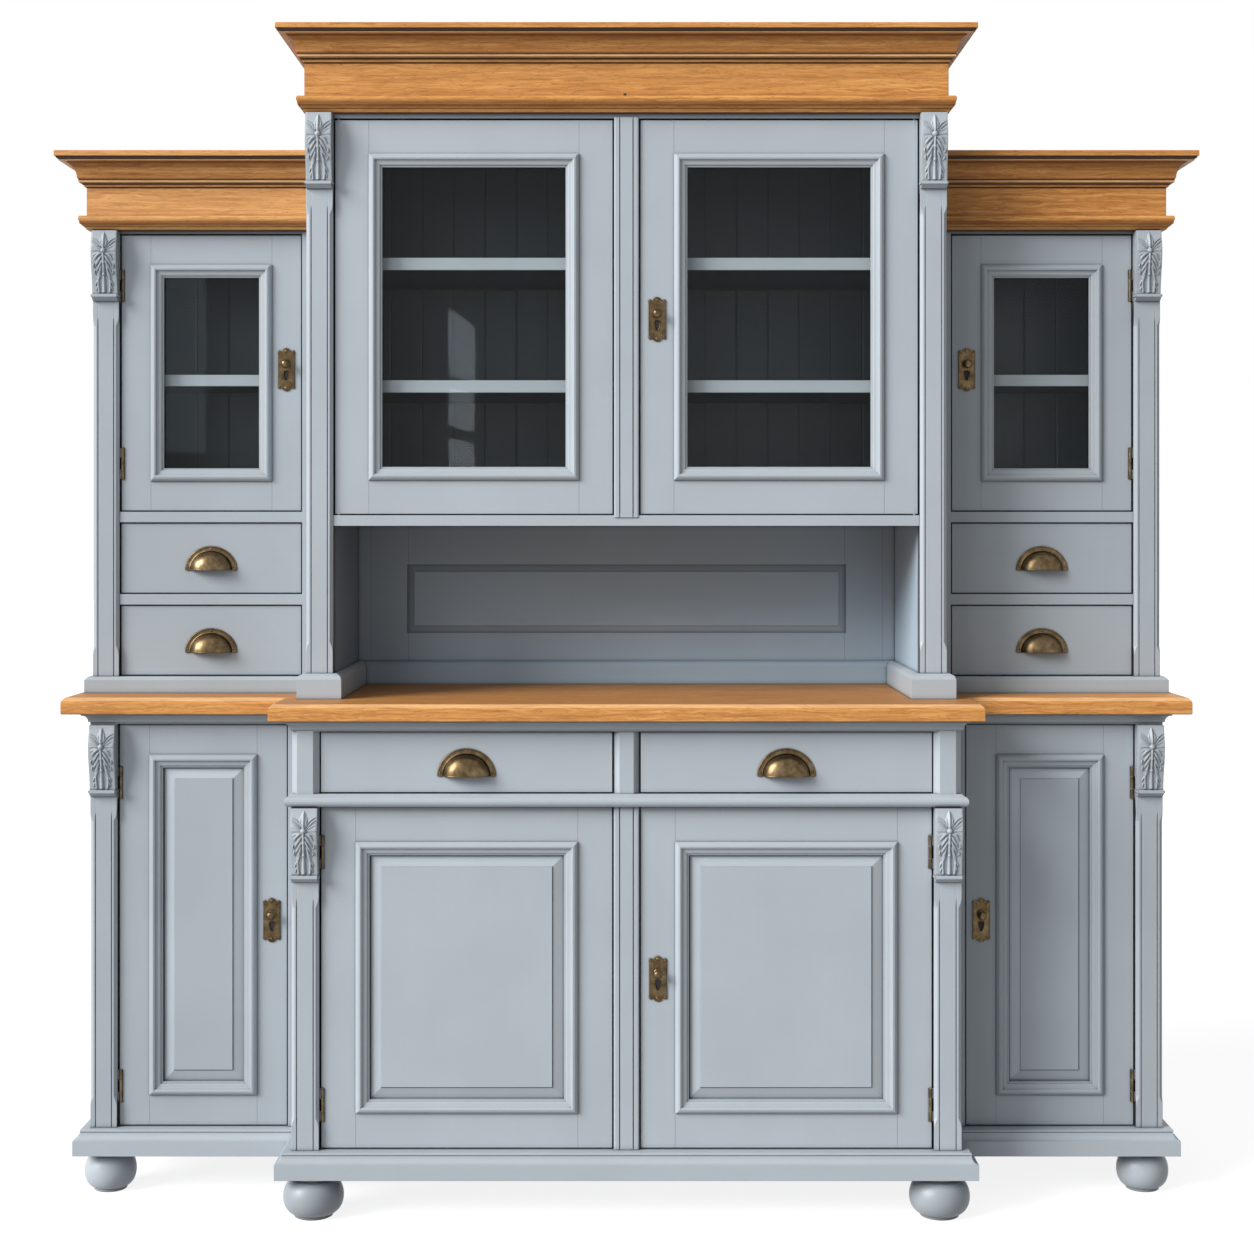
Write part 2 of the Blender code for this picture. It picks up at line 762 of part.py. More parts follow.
def upper_centre_carcass():
    half = UPPER_CENTRE_HALF
    face = UPPER_CENTRE_FACE
    body_face = face + PILASTER_THICK + SEAT
    wall = half - DEEP_SIDE
    niche_top = WORKTOP_TOP + NICHE_HEIGHT
    floor = niche_top + NICHE_RAIL
    roof = UPPER_CENTRE_TOP - SIDE_BOARD
    depth = (body_face - LONG, BACK - BACK_BOARD)
    piece = block("upper_centre_carcass", (-half, half), (body_face, BACK), (UPPER_FOOT, UPPER_CENTRE_TOP))
    cut(
        piece,
        block("niche", (-wall, wall), depth, (WORKTOP_TOP - 0.01, niche_top)),
        block("cabinet", (-wall, wall), depth, (floor, roof)),
    )
    rail_half = half - CENTRE_PILASTER - SEAT
    rail_face = face + STILE_SETBACK
    rail_depth = (rail_face, body_face + 0.012)
    parts = [
        skirting(),
        block("niche_rail", (-rail_half, rail_half), rail_depth, (niche_top, floor)),
        block(
            "top_strip",
            (-rail_half, rail_half),
            rail_depth,
            (UPPER_CENTRE_TOP - UPPER_CENTRE_STRIP, UPPER_CENTRE_TOP),
        ),
        mullion(
            "mullion",
            face + MULLION_SETBACK,
            floor - 0.004,
            UPPER_CENTRE_TOP - UPPER_CENTRE_STRIP + 0.002,
            body_face + SHELF_SETBACK - 0.001,
        ),
    ]
    for rise in CENTRE_SHELF_RISES:
        top = floor + rise - SEAT
        for side in (-1, 1):
            parts.append(
                block(
                    "cleat",
                    (side * (wall - SHELF_CLEAT), side * (wall + 0.004)),
                    (body_face + SHELF_SETBACK, BACK - BACK_BOARD - 0.02),
                    (top - SHELF_CLEAT, top),
                )
            )
    join(piece, *parts)
    pivot_x = rail_half + SEAT - HINGE_GAP - PIVOT_INSET
    pivot_y = face + DOOR_SETBACK + PIVOT_SETBACK
    holes = []
    for side in (-1, 1):
        centre = (side * pivot_x, pivot_y)
        radius = PIVOT_RADIUS + HINGE_PLAY
        deep = PIVOT_LENGTH - DOOR_GAP + 0.001
        strip = UPPER_CENTRE_TOP - UPPER_CENTRE_STRIP
        holes.append(rod("hole", centre, radius, floor - deep, floor + 0.01, PAINT, 12))
        holes.append(rod("hole", centre, radius, strip - 0.01, strip + deep, PAINT, 12))
    return cut(piece, *holes)


def upper_wing_levels():
    """Heights of the openings in an upper wing: two drawers, then the glazed cupboard."""
    lower_floor = WORKTOP_TOP + WING_SKIRTING
    lower_top = lower_floor + LOWER_DRAWER_OPENING
    upper_floor = lower_top + WING_RAIL
    upper_top = upper_floor + UPPER_DRAWER_OPENING
    cupboard = upper_top + WING_RAIL
    return lower_floor, lower_top, upper_floor, upper_top, cupboard


def upper_wing_carcass(name, side):
    inner = UPPER_CENTRE_HALF + SEAT
    outer = UPPER_WING_HALF
    face = UPPER_WING_FACE
    body_face = face + PILASTER_THICK + SEAT
    opening = UPPER_CENTRE_HALF + UPPER_WING_STILE
    guide = outer - UPPER_WING_PILASTER
    lower_floor, lower_top, upper_floor, upper_top, cupboard = upper_wing_levels()
    roof = UPPER_WING_TOP - SIDE_BOARD
    shelf = cupboard + WING_SHELF_RISE
    depth = (body_face - LONG, BACK - BACK_BOARD)
    width = (side * (inner + SIDE_BOARD), side * (outer - SIDE_BOARD))
    piece = block(name, (side * inner, side * outer), (body_face, BACK), (UPPER_FOOT, UPPER_WING_TOP))
    cut(
        piece,
        block("low", width, depth, (cupboard, shelf)),
        block("high", width, depth, (shelf + WING_SHELF, roof)),
    )
    stile_face = face + STILE_SETBACK
    frame_depth = (stile_face, body_face + 0.012)
    rail_width = (side * (opening - 0.004), side * (guide - SEAT))
    skirting_top = WORKTOP_TOP + WING_SKIRTING
    bevel = 0.006
    join(
        piece,
        moulded_block(
            "skirting",
            wing_plan(side, inner + 0.0005, outer, face, BACK - 0.0005),
            [
                (UPPER_FOOT, WING_SKIRTING_OUT),
                (skirting_top - bevel, WING_SKIRTING_OUT),
                (skirting_top, WING_SKIRTING_OUT - bevel),
            ],
            PAINT,
        ),
        block(
            "stile",
            (side * inner, side * opening),
            (stile_face, body_face + 0.010),
            (skirting_top - 0.01, UPPER_WING_TOP - 0.001),
        ),
        block("drawer_rail", rail_width, frame_depth, (lower_top, upper_floor)),
        block("door_rail", rail_width, frame_depth, (upper_top, cupboard)),
        block("top_strip", rail_width, frame_depth, (UPPER_WING_TOP - UPPER_WING_STRIP, UPPER_WING_TOP)),
    )
    bay_width = (side * opening, side * guide)
    return cut(
        piece,
        block("low_bay", bay_width, depth, (lower_floor, lower_top)),
        block("high_bay", bay_width, depth, (upper_floor, upper_top)),
    )


def cornice(name, plan, low, heights, top_out, base_out, hollow):
    """A moulded cornice, open underneath where it sits on its unit."""
    piece = moulded_block(name, plan, cornice_levels(low, heights, top_out, base_out), OAK)
    top = low + sum(heights) - CORNICE_WALL
    return cut(piece, block("inside", hollow[0], hollow[1], (low - 0.01, top)))


def cornices():
    low = UPPER_CENTRE_TOP + SEAT
    half = UPPER_CENTRE_HALF
    inside = half - CORNICE_WALL
    depth = (UPPER_CENTRE_FACE + CORNICE_WALL, BACK - CORNICE_WALL)
    plan = centre_plan(half, UPPER_CENTRE_FACE, BACK)
    hollow = ((-inside, inside), depth)
    cornice("cornice_centre", plan, low, CENTRE_CORNICE, CENTRE_CORNICE_OUT, CENTRE_CORNICE_BASE_OUT, hollow)
    low = UPPER_WING_TOP + SEAT
    depth = (UPPER_WING_FACE + CORNICE_WALL, BACK - CORNICE_WALL)
    for side, name in ((-1, "cornice_left"), (1, "cornice_right")):
        inner = UPPER_CENTRE_HALF + SEAT
        outer = UPPER_WING_HALF
        plan = wing_plan(side, inner, outer, UPPER_WING_FACE, BACK)
        width = (side * (inner + CORNICE_WALL), side * (outer - CORNICE_WALL))
        cornice(name, plan, low, WING_CORNICE, WING_CORNICE_OUT, WING_CORNICE_BASE_OUT, (width, depth))


# Pilasters


def shaft_ring(x0, x1, face, back, z, chamfer, groove):
    """The section of a pilaster at one height: chamfered front corners and two upright grooves."""
    first = x0 + GROOVE_IN
    last = x1 - GROOVE_IN
    half = GROOVE_WIDTH / 2
    points = [
        (x0, back),
        (x0, face + chamfer),
        (x0 + chamfer, face),
        (first - half, face),
        (first, face + groove),
        (first + half, face),
        (last - half, face),
        (last, face + groove),
        (last + half, face),
        (x1 - chamfer, face),
        (x1, face + chamfer),
        (x1, back),
    ]
    return [(x, y, z) for x, y in points]


def corbel(x0, x1, face, low, high):
    """The carved corbel's body: a ledge below, and above it an S that swells towards the top."""
    start = low + CORBEL_LEDGE
    reach = CORBEL_LEDGE_OUT
    outline = [(0.002, low), (-0.35 * reach, low), (-0.75 * reach, low + 0.35 * CORBEL_LEDGE)]
    outline += [(-reach, low + 0.55 * CORBEL_LEDGE), (-reach, start - 0.0008), (-reach + 0.0008, start)]
    steps = 14
    for step in range(steps + 1):
        share = step / steps
        swell = math.sin(math.pi * min(share / 0.68, 1.0) / 2) ** 2
        fall = 0.0 if share < 0.68 else (share - 0.68) / 0.32
        out = CORBEL_START_OUT + (CORBEL_BULGE - CORBEL_START_OUT) * swell
        out -= CORBEL_TOP_FALL * fall * fall * (3 - 2 * fall)
        outline.append((-out, start + 0.0004 + (high - start - 0.0004) * share))
    outline.append((0.002, high))
    rings = []
    for x in (x0 + CORBEL_SIDE, x1 - CORBEL_SIDE):
        rings.append([(x, face + y, z) for y, z in outline])
    return loft("corbel", rings, PAINT)


def corbel_ledge(x0, x1, face, low):
    """The ledge's short returns past the pilaster's sides."""
    width = (min(x0, x1) - LEDGE_SIDE, max(x0, x1) + LEDGE_SIDE)
    depth = (face - CORBEL_LEDGE_OUT + 0.001, face + 0.012)
    return block("ledge", width, depth, (low + 0.60 * CORBEL_LEDGE, low + CORBEL_LEDGE - 0.0012))


def hinge_spans(low, high, places):
    """The lower end of each hinge, from its distance to the door's bottom or top."""
    bottom, top = places
    return [low + bottom, high - top - HINGE_LENGTH]


def knuckle_spans(start):
    """Heights of a hinge's fixed knuckles and of the door's knuckle between them."""
    end = (HINGE_LENGTH - HINGE_MIDDLE) / 2
    first = (start, start + end - SEAT)
    last = (start + HINGE_LENGTH - end + SEAT, start + HINGE_LENGTH)
    middle = (start + end, start + HINGE_LENGTH - end)
    return first, middle, last


def fixed_knuckle(axis, side, reach, span):
    """A knuckle with the thin leaf that holds it to the pilaster, reach away from the axis."""
    start = math.asin(LEAF_BACK / HINGE_RADIUS)
    end = 2 * math.pi - math.asin(LEAF_FRONT / HINGE_RADIUS)
    outline = [(reach, -LEAF_FRONT), (reach, LEAF_BACK)]
    for step in range(8):
        angle = start + (end - start) * step / 7
        outline.append((HINGE_RADIUS * math.cos(angle), HINGE_RADIUS * math.sin(angle)))
    outline = [(axis[0] + side * x, axis[1] + y) for x, y in outline]
    return prism("knuckle", outline, span[0], span[1], PAINT)


def pilaster(name, side, inner, outer, face, low, high, corbel_height, hinge_axis, hinges):
    x0 = min(side * inner, side * outer)
    x1 = max(side * inner, side * outer)
    back = face + PILASTER_THICK
    corbel_low = high - CORBEL_TOP_GAP - corbel_height
    stop_high = corbel_low - STOP_BELOW_CORBEL
    stop_low = low + STOP_ABOVE_BASE
    length = STOP_LENGTH
    sections = [
        (low, ARRIS, GROOVE_CUT),
        (stop_low, ARRIS, GROOVE_CUT),
        (stop_low + 0.45 * length, 0.35 * CHAMFER, GROOVE_CUT),
        (stop_low + length, CHAMFER, GROOVE_CUT),
        (stop_high - length, CHAMFER, GROOVE_CUT),
        (stop_high - 0.45 * length, 0.35 * CHAMFER, 0.8 * GROOVE_CUT),
        (stop_high, ARRIS, ARRIS / 2),
        (high, ARRIS, ARRIS / 2),
    ]
    rings = [shaft_ring(x0, x1, face, back, z, chamfer, groove) for z, chamfer, groove in sections]
    piece = loft(name, rings, PAINT)
    parts = [
        corbel(x0, x1, face, corbel_low, high - CORBEL_TOP_GAP),
        corbel_ledge(x0, x1, face, corbel_low),
    ]
    for start in hinges:
        first, _, last = knuckle_spans(start)
        reach = HINGE_INSET + HINGE_GAP + 0.002
        parts += [fixed_knuckle(hinge_axis, side, reach, span) for span in (first, last)]
    return join(piece, *parts)


# Doors


def moulding_section(stile):
    """The front of a door from its outer edge to the inner edge of its moulding, as (inset, rise)."""
    proud = MOULDING_PROUD
    shape = (
        (0.000, 0.28),
        (0.002, 0.62),
        (0.005, 0.90),
        (0.0084, 1.00),
        (0.0110, 0.88),
        (0.0125, 0.55),
        (0.0150, 0.42),
        (0.0185, 0.34),
        (0.0205, 0.22),
        (0.0210, 0.02),
        (MOULDING_WIDTH, -0.06),
    )
    front = [(0.0, DOOR_THICK), (stile, DOOR_THICK)]
    front += [(stile + inset, DOOR_THICK + share * proud) for inset, share in shape]
    return front


def door_section(stile, pane_thick):
    """The closed section of a stile or rail with its moulding, and a groove for the panel or pane."""
    groove_front = DOOR_THICK - 0.0065
    groove_back = groove_front - pane_thick - 2 * SEAT
    section = [(0.0, 0.0)] + moulding_section(stile)
    section += [
        (stile + MOULDING_WIDTH, groove_front),
        (stile - GROOVE_DEPTH, groove_front),
        (stile - GROOVE_DEPTH, groove_back),
        (stile + BACK_BEAD, groove_back),
        (stile + BACK_BEAD, 0.0),
    ]
    return section


def ring_of(name, width, height, section, material):
    """A mitred frame lying on its back: the section is run round a rectangle."""
    rings = []
    for corner_x, corner_y in ((-1, -1), (1, -1), (1, 1), (-1, 1)):
        ring = []
        for inset, rise in section:
            ring.append((corner_x * (width / 2 - inset), corner_y * (height / 2 - inset), rise))
        rings.append(ring)
    return loft(name, rings, material, closed=True)


def rectangle_plan(width, height):
    half_x = width / 2
    half_y = height / 2
    return [
        (-half_x, -half_y, 1, 1),
        (half_x, -half_y, -1, 1),
        (half_x, half_y, -1, -1),
        (-half_x, half_y, 1, -1),
    ]


def raised_panel(name, width, height, stile):
    """A fielded panel lying on its back: thin edges, a bevel, a small step and a flat field."""
    margin = stile - GROOVE_DEPTH + SEAT
    seat = DOOR_THICK - 0.0065 - SEAT - PANEL_EDGE
    edge = stile + MOULDING_WIDTH + 0.0005 - margin
    step = 0.0006
    levels = [
        (seat, 0.0),
        (seat + PANEL_EDGE, 0.0),
        (seat + PANEL_EDGE + 0.0001, edge),
        (seat + PANEL_EDGE + 0.0035, edge + PANEL_BEVEL),
        (seat + PANEL_EDGE + 0.0035 + FIELD_STEP, edge + PANEL_BEVEL + step),
    ]
    return moulded_block(name, rectangle_plan(width - 2 * margin, height - 2 * margin), levels, PAINT)


def glass_pane(name, width, height, stile):
    margin = stile - GROOVE_DEPTH + SEAT
    low = DOOR_THICK - 0.0065 - SEAT - GLASS_THICK
    levels = [(low, 0.0), (low + GLASS_THICK, 0.0)]
    return moulded_block(name, rectangle_plan(width - 2 * margin, height - 2 * margin), levels, GLASS)


def keyhole():
    """The keyhole's outline: a round hole over a slot."""
    points = []
    half = KEYHOLE_SLOT / 2
    reach = math.sqrt(KEYHOLE_RADIUS**2 - half**2)
    start = math.atan2(-reach, half)
    sweep = 2 * math.pi - 2 * (math.pi / 2 + start)
    for step in range(7):
        angle = start + sweep * step / 6
        points.append((KEYHOLE_RADIUS * math.cos(angle), KEYHOLE_RADIUS * math.sin(angle)))
    points.append((-half, -KEYHOLE_LENGTH))
    points.append((half, -KEYHOLE_LENGTH))
    return points


def plate_outline():
    """Half of the plate's outline is a corner scroll and an ogee to the middle, mirrored four ways."""
    half_x = PLATE_WIDTH / 2
    half_y = PLATE_HEIGHT / 2
    crest = PLATE_CREST
    quarter = [
        (half_x - 0.0012, half_y - crest - 0.0065),
        (half_x, half_y - crest - 0.0045),
        (half_x, half_y - crest - 0.001),
        (half_x - 0.002, half_y - crest + 0.0008),
        (half_x - 0.0060, half_y - crest - 0.0015),
        (half_x - 0.0085, half_y - crest + 0.001),
        (half_x - 0.0115, half_y - 0.0012),
        (0.0, half_y),
    ]
    upper = quarter + [(-x, y) for x, y in reversed(quarter[:-1])]
    return upper + [(-x, -y) for x, y in upper]


def escutcheon(name, x, face, z):
    """A plate with a keyhole, and a round knob above it."""
    plate = prism(name, plate_outline(), 0.0, PLATE_THICK, BRASS)
    collar = [(px * 1.45, py * 1.35 - 0.0004) for px, py in keyhole()]
    collar = [(px, py - KEYHOLE_DROP) for px, py in collar]
    hole = [(px, py - KEYHOLE_DROP) for px, py in keyhole()]
    reach = KNOB_REACH
    radius = KNOB_RADIUS
    profile = [(0.0, reach)]
    for step in range(1, 5):
        angle = math.radians(90 - 38 * step)
        profile.append((radius * math.cos(angle), reach - 0.72 * radius + 0.72 * radius * math.sin(angle)))
    profile += [(0.0034, 0.005), (0.0052, PLATE_THICK + 0.0006), (0.0052, 0.0004), (0.0, 0.0004)]
    knob = applied(turned("knob", profile, 10, BRASS))
    knob.location = (0.0, KNOB_RISE, 0.0)
    join(plate, prism("collar", collar, 0.0004, PLATE_THICK + 0.0008, BRASS), knob)
    cut(plate, prism("keyhole", hole, -0.01, 0.01, BRASS))
    smooth(plate)
    return stand_up(plate, (x, face - SEAT, z))


def door(name, side, hinged, x, z, face, stile, glazed, key_rise, hinges):
    """A door between x[0] and x[1]. side says which edge carries the hinges: -1 left, 1 right."""
    width = max(x) - min(x)
    height = max(z) - min(z)
    middle = ((x[0] + x[1]) / 2, face + DOOR_THICK, (z[0] + z[1]) / 2)
    edge = max(x) if side > 0 else min(x)
    pane_thick = GLASS_THICK if glazed else PANEL_EDGE
    frame = ring_of(name + "_frame", width, height, door_section(stile, pane_thick), PAINT)
    stand_up(frame, middle)
    if hinged:
        axis = (edge - side * HINGE_INSET, face - HINGE_PROUD)
        notches = []
        knuckles = []
        for start in hinges:
            first, centre, last = knuckle_spans(start)
            for low, high in (first, last):
                radius = HINGE_RADIUS + HINGE_PLAY
                notches.append(rod("notch", axis, radius, low - 1.5 * SEAT, high + 1.5 * SEAT, PAINT, 12))
            knuckles.append(rod("knuckle", axis, HINGE_RADIUS, centre[0] + SEAT, centre[1] - SEAT, PAINT, 10))
        cut(frame, *notches)
        join(frame, *knuckles)
    else:
        axis = (edge - side * PIVOT_INSET, face + PIVOT_SETBACK)
        low_pin = rod("pin", axis, PIVOT_RADIUS, z[0] - PIVOT_LENGTH + 0.0005, z[0] + 0.01, PAINT, 8)
        high_pin = rod("pin", axis, PIVOT_RADIUS, z[1] - 0.01, z[1] + PIVOT_LENGTH - 0.0005, PAINT, 8)
        join(frame, low_pin, high_pin)
    if glazed:
        pane = glass_pane(name + "_glass", width, height, stile)
    else:
        pane = raised_panel(name + "_panel", width, height, stile)
    stand_up(pane, middle)
    pieces = [frame, pane]
    if key_rise is not None:
        free_edge = min(x) if side > 0 else max(x)
        key_x = free_edge + side * stile / 2
        pieces.append(escutcheon(name + "_escutcheon", key_x, face, z[0] + key_rise))
    hang_on(name + "_axis", (axis[0], axis[1], middle[2]), pieces)
    return axis


# Drawers


def cup_pull(name, x, face, z, width, height):
    """A half-round cup pull, open below: a shell turned half round, with a flange against the drawer."""
    radius = width / 2
    cup = radius - PULL_FLANGE
    outer = [(radius, 0.0), (radius, PULL_FLANGE_THICK), (cup, PULL_FLANGE_THICK)]
    inner = []
    steps = 5
    rise = PULL_DEEP - PULL_FLANGE_THICK
    for step in range(steps + 1):
        angle = math.radians(90 * step / steps)
        if step > 0:
            outer.append((cup * math.cos(angle), PULL_FLANGE_THICK + rise * math.sin(angle)))
        inner.append(((cup - PULL_WALL) * math.cos(angle), (PULL_DEEP - PULL_WALL) * math.sin(angle)))
    profile = outer + list(reversed(inner))
    bm = bmesh.new()
    points = [bm.verts.new((r, 0.0, rise)) for r, rise in profile]
    edges = [bm.edges.new((points[i], points[i + 1])) for i in range(len(points) - 1)]
    edges.append(bm.edges.new((points[-1], points[0])))
    edges = [edge for edge in edges if max(vert.co.x for vert in edge.verts) > 1e-6]
    bmesh.ops.spin(
        bm,
        geom=points + edges,
        cent=(0, 0, 0),
        axis=(0, 0, 1),
        angle=math.pi,
        steps=10,
    )
    bmesh.ops.remove_doubles(bm, verts=bm.verts, dist=1e-6)
    border = [edge for edge in bm.edges if edge.is_boundary]
    bmesh.ops.contextual_create(bm, geom=border)
    loose = [edge for edge in bm.edges if not edge.link_faces]
    bmesh.ops.delete(bm, geom=loose, context="EDGES")
    bmesh.ops.transform(bm, matrix=Matrix.Diagonal((1.0, height / radius, 1.0, 1.0)), verts=bm.verts)
    piece = object_from(bm, name, BRASS)
    smooth(piece)
    return stand_up(piece, (x, face - SEAT, z - height / 2))


def drawer(name, x, z, face, back_gap, pull):
    """A drawer front with its tray, which ends back_gap before the back board."""
    low_x = min(x) + DOOR_GAP
    high_x = max(x) - DOOR_GAP
    front_face = face + DOOR_SETBACK
    piece = block(
        name,
        (low_x, high_x),
        (front_face, front_face + DRAWER_FRONT),
        (z[0] + DOOR_GAP, z[1] - DOOR_GAP),
    )
    tray_low = z[0] + SEAT
    tray_high = z[1] - DRAWER_HEADROOM
    tray_back = BACK - BACK_BOARD - back_gap
    tray = block("tray", (low_x, high_x), (front_face + 0.010, tray_back), (tray_low, tray_high))
    join(piece, tray)
    inside = block(
        "inside",
        (low_x + DRAWER_SIDE, high_x - DRAWER_SIDE),
        (front_face + DRAWER_FRONT, tray_back - DRAWER_SIDE),
        (tray_low + DRAWER_FLOOR, z[1] + 0.05),
    )
    cut(piece, inside)
    pull_piece = cup_pull(name + "_pull", (x[0] + x[1]) / 2, front_face, pull[0], pull[1], pull[2])
    hang_on(name + "_slide", ((x[0] + x[1]) / 2, face, tray_low), [piece, pull_piece])


# Niche back and shelves


def niche_back_panel():
    """A framed panel with a sunk, bevelled surround and a raised field."""
    half = UPPER_CENTRE_HALF - DEEP_SIDE - SEAT
    low = UPPER_FOOT
    high = WORKTOP_TOP + NICHE_HEIGHT - SEAT
    face = BACK - BACK_BOARD - NICHE_BACK_THICK
    piece = block("niche_back_panel", (-half, half), (face, BACK - BACK_BOARD - SEAT), (low, high))
    sink_low = WORKTOP_TOP + NICHE_FIELD_BOTTOM
    sink_high = WORKTOP_TOP + NICHE_FIELD_TOP
    section = [
        (0.0, -0.01),
        (0.0, NICHE_FIELD_SINK),
        (0.002, NICHE_FIELD_SINK),
        (NICHE_FIELD_BEVEL, 0.0015),
        (NICHE_FIELD_BEVEL, -0.01),
    ]
    section = [(inset, -rise) for inset, rise in section]
    groove = ring_of("groove", 2 * NICHE_FIELD_HALF_WIDTH, sink_high - sink_low, section, PAINT)
    stand_up(groove, (0.0, face, (sink_low + sink_high) / 2))
    return cut(piece, groove)


def centre_shelves():
    floor = WORKTOP_TOP + NICHE_HEIGHT + NICHE_RAIL
    half = UPPER_CENTRE_HALF - DEEP_SIDE - SEAT
    front = UPPER_CENTRE_FACE + PILASTER_THICK + SHELF_SETBACK
    for rise, name in zip(CENTRE_SHELF_RISES, ("lower_shelf", "upper_shelf")):
        low = floor + rise
        block(name, (-half, half), (front, BACK - BACK_BOARD - SEAT), (low, low + CENTRE_SHELF))


# The whole dresser


def build_doors_and_pilasters():
    floor = WORKTOP_TOP + NICHE_HEIGHT + NICHE_RAIL
    cupboard = upper_wing_levels()[-1]
    base_low = PLINTH_TOP + DOOR_GAP
    base_high = TORUS_UNDERSIDE - DOOR_GAP
    wing_high = BASE_TOP - WING_TOP_RAIL - DOOR_GAP
    upper_high = UPPER_CENTRE_TOP - UPPER_CENTRE_STRIP - DOOR_GAP
    upper_wing_high = UPPER_WING_TOP - UPPER_WING_STRIP - DOOR_GAP
    middle = MULLION / 2 + DOOR_GAP
    for side, word in ((-1, "left"), (1, "right")):
        inner = BASE_CENTRE_HALF - CENTRE_PILASTER
        hinges = hinge_spans(base_low, base_high, BASE_CENTRE_HINGES)
        x = (side * middle, side * (inner - HINGE_GAP))
        axis = door(
            f"base_centre_{word}_door",
            side,
            True,
            x,
            (base_low, base_high),
            BASE_CENTRE_FACE + DOOR_SETBACK,
            CENTRE_DOOR_STILE,
            False,
            BASE_CENTRE_KEY if side > 0 else None,
            hinges,
        )
        pilaster(
            f"base_centre_{word}_pilaster",
            side,
            inner,
            BASE_CENTRE_HALF,
            BASE_CENTRE_FACE,
            BASE_FOOT,
            TORUS_UNDERSIDE - SEAT,
            CORBEL_HEIGHT,
            axis,
            hinges,
        )
        inner = BASE_WING_HALF - BASE_WING_PILASTER
        hinges = hinge_spans(base_low, wing_high, BASE_WING_HINGES)
        x = (side * (BASE_CENTRE_HALF + BASE_WING_STILE + DOOR_GAP), side * (inner - HINGE_GAP))
        axis = door(
            f"base_{word}_door",
            side,
            True,
            x,
            (base_low, wing_high),
            BASE_WING_FACE + DOOR_SETBACK,
            WING_DOOR_STILE,
            False,
            BASE_WING_KEY,
            hinges,
        )
        pilaster(
            f"base_{word}_pilaster",
            side,
            inner,
            BASE_WING_HALF,
            BASE_WING_FACE,
            BASE_FOOT,
            BASE_TOP - WING_TOP_RAIL - SEAT,
            CORBEL_HEIGHT,
            axis,
            hinges,
        )
        inner = UPPER_CENTRE_HALF - CENTRE_PILASTER
        x = (side * middle, side * (inner - HINGE_GAP))
        door(
            f"upper_centre_{word}_door",
            side,
            False,
            x,
            (floor + DOOR_GAP, upper_high),
            UPPER_CENTRE_FACE + DOOR_SETBACK,
            CENTRE_DOOR_STILE,
            True,
            UPPER_CENTRE_KEY if side > 0 else None,
            (),
        )
        pilaster(
            f"upper_centre_{word}_pilaster",
            side,
            inner,
            UPPER_CENTRE_HALF,
            UPPER_CENTRE_FACE,
            WORKTOP_TOP + SKIRTING_HEIGHT + SEAT,
            UPPER_CENTRE_TOP,
            UPPER_CENTRE_CORBEL_HEIGHT,
            None,
            (),
        )
        inner = UPPER_WING_HALF - UPPER_WING_PILASTER
        low = cupboard + DOOR_GAP
        hinges = hinge_spans(low, upper_wing_high, UPPER_WING_HINGES)
        x = (side * (UPPER_CENTRE_HALF + UPPER_WING_STILE + DOOR_GAP), side * (inner - HINGE_GAP))
        axis = door(
            f"upper_{word}_door",
            side,
            True,
            x,
            (low, upper_wing_high),
            UPPER_WING_FACE + DOOR_SETBACK,
            WING_DOOR_STILE,
            True,
            UPPER_WING_KEY,
            hinges,
        )
        pilaster(
            f"upper_{word}_pilaster",
            side,
            inner,
            UPPER_WING_HALF,
            UPPER_WING_FACE,
            WORKTOP_TOP + WING_SKIRTING + SEAT,
            UPPER_WING_TOP,
            CORBEL_HEIGHT,
            axis,
            hinges,
        )


def build_drawers():
    lower_floor, lower_top, upper_floor, upper_top, _ = upper_wing_levels()
    for side, word in ((-1, "left"), (1, "right")):
        x = sorted((side * MULLION / 2, side * (BASE_CENTRE_HALF - CENTRE_PILASTER)))
        pull_z = (DRAWER_ROW_FLOOR + DRAWER_ROW_TOP) / 2
        drawer(
            f"base_{word}_drawer",
            x,
            (DRAWER_ROW_FLOOR, DRAWER_ROW_TOP),
            BASE_CENTRE_FACE,
            BASE_TRAY_BACK_GAP,
            (pull_z, CENTRE_PULL_WIDTH, CENTRE_PULL_HEIGHT),
        )
        inner = UPPER_CENTRE_HALF + UPPER_WING_STILE
        outer = UPPER_WING_HALF - UPPER_WING_PILASTER
        x = sorted((side * inner, side * outer))
        for place, z in (("lower", (lower_floor, lower_top)), ("upper", (upper_floor, upper_top))):
            drawer(
                f"upper_{word}_{place}_drawer",
                x,
                z,
                UPPER_WING_FACE,
                WING_TRAY_BACK_GAP,
                ((z[0] + z[1]) / 2, WING_PULL_WIDTH, WING_PULL_HEIGHT),
            )


def build():
    clear_scene()
    worktop()
    plinth()
    base_centre_carcass()
    upper_centre_carcass()
    for side, word in ((-1, "left"), (1, "right")):
        centre_x = side * (BASE_CENTRE_HALF - CENTRE_FOOT_INSET)
        wing_x = side * (BASE_WING_HALF - WING_FOOT_INSET)
        foot(
            f"centre_{word}_foot",
            centre_x,
            BASE_CENTRE_FACE,
            CENTRE_FOOT_RADIUS,
            CENTRE_FOOT_SETBACK,
        )
        foot(f"wing_{word}_foot", wing_x, BASE_WING_FACE, WING_FOOT_RADIUS, WING_FOOT_SETBACK)
        base_wing_carcass(f"base_{word}_carcass", side)
        upper_wing_carcass(f"upper_{word}_carcass", side)
    cornices()
    niche_back_panel()
    centre_shelves()
    build_doors_and_pilasters()
    build_drawers()


build()
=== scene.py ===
"""Looks of the breakfront kitchen dresser: paint, oak, brass, glass, carving, hardware, lights and camera."""

import math

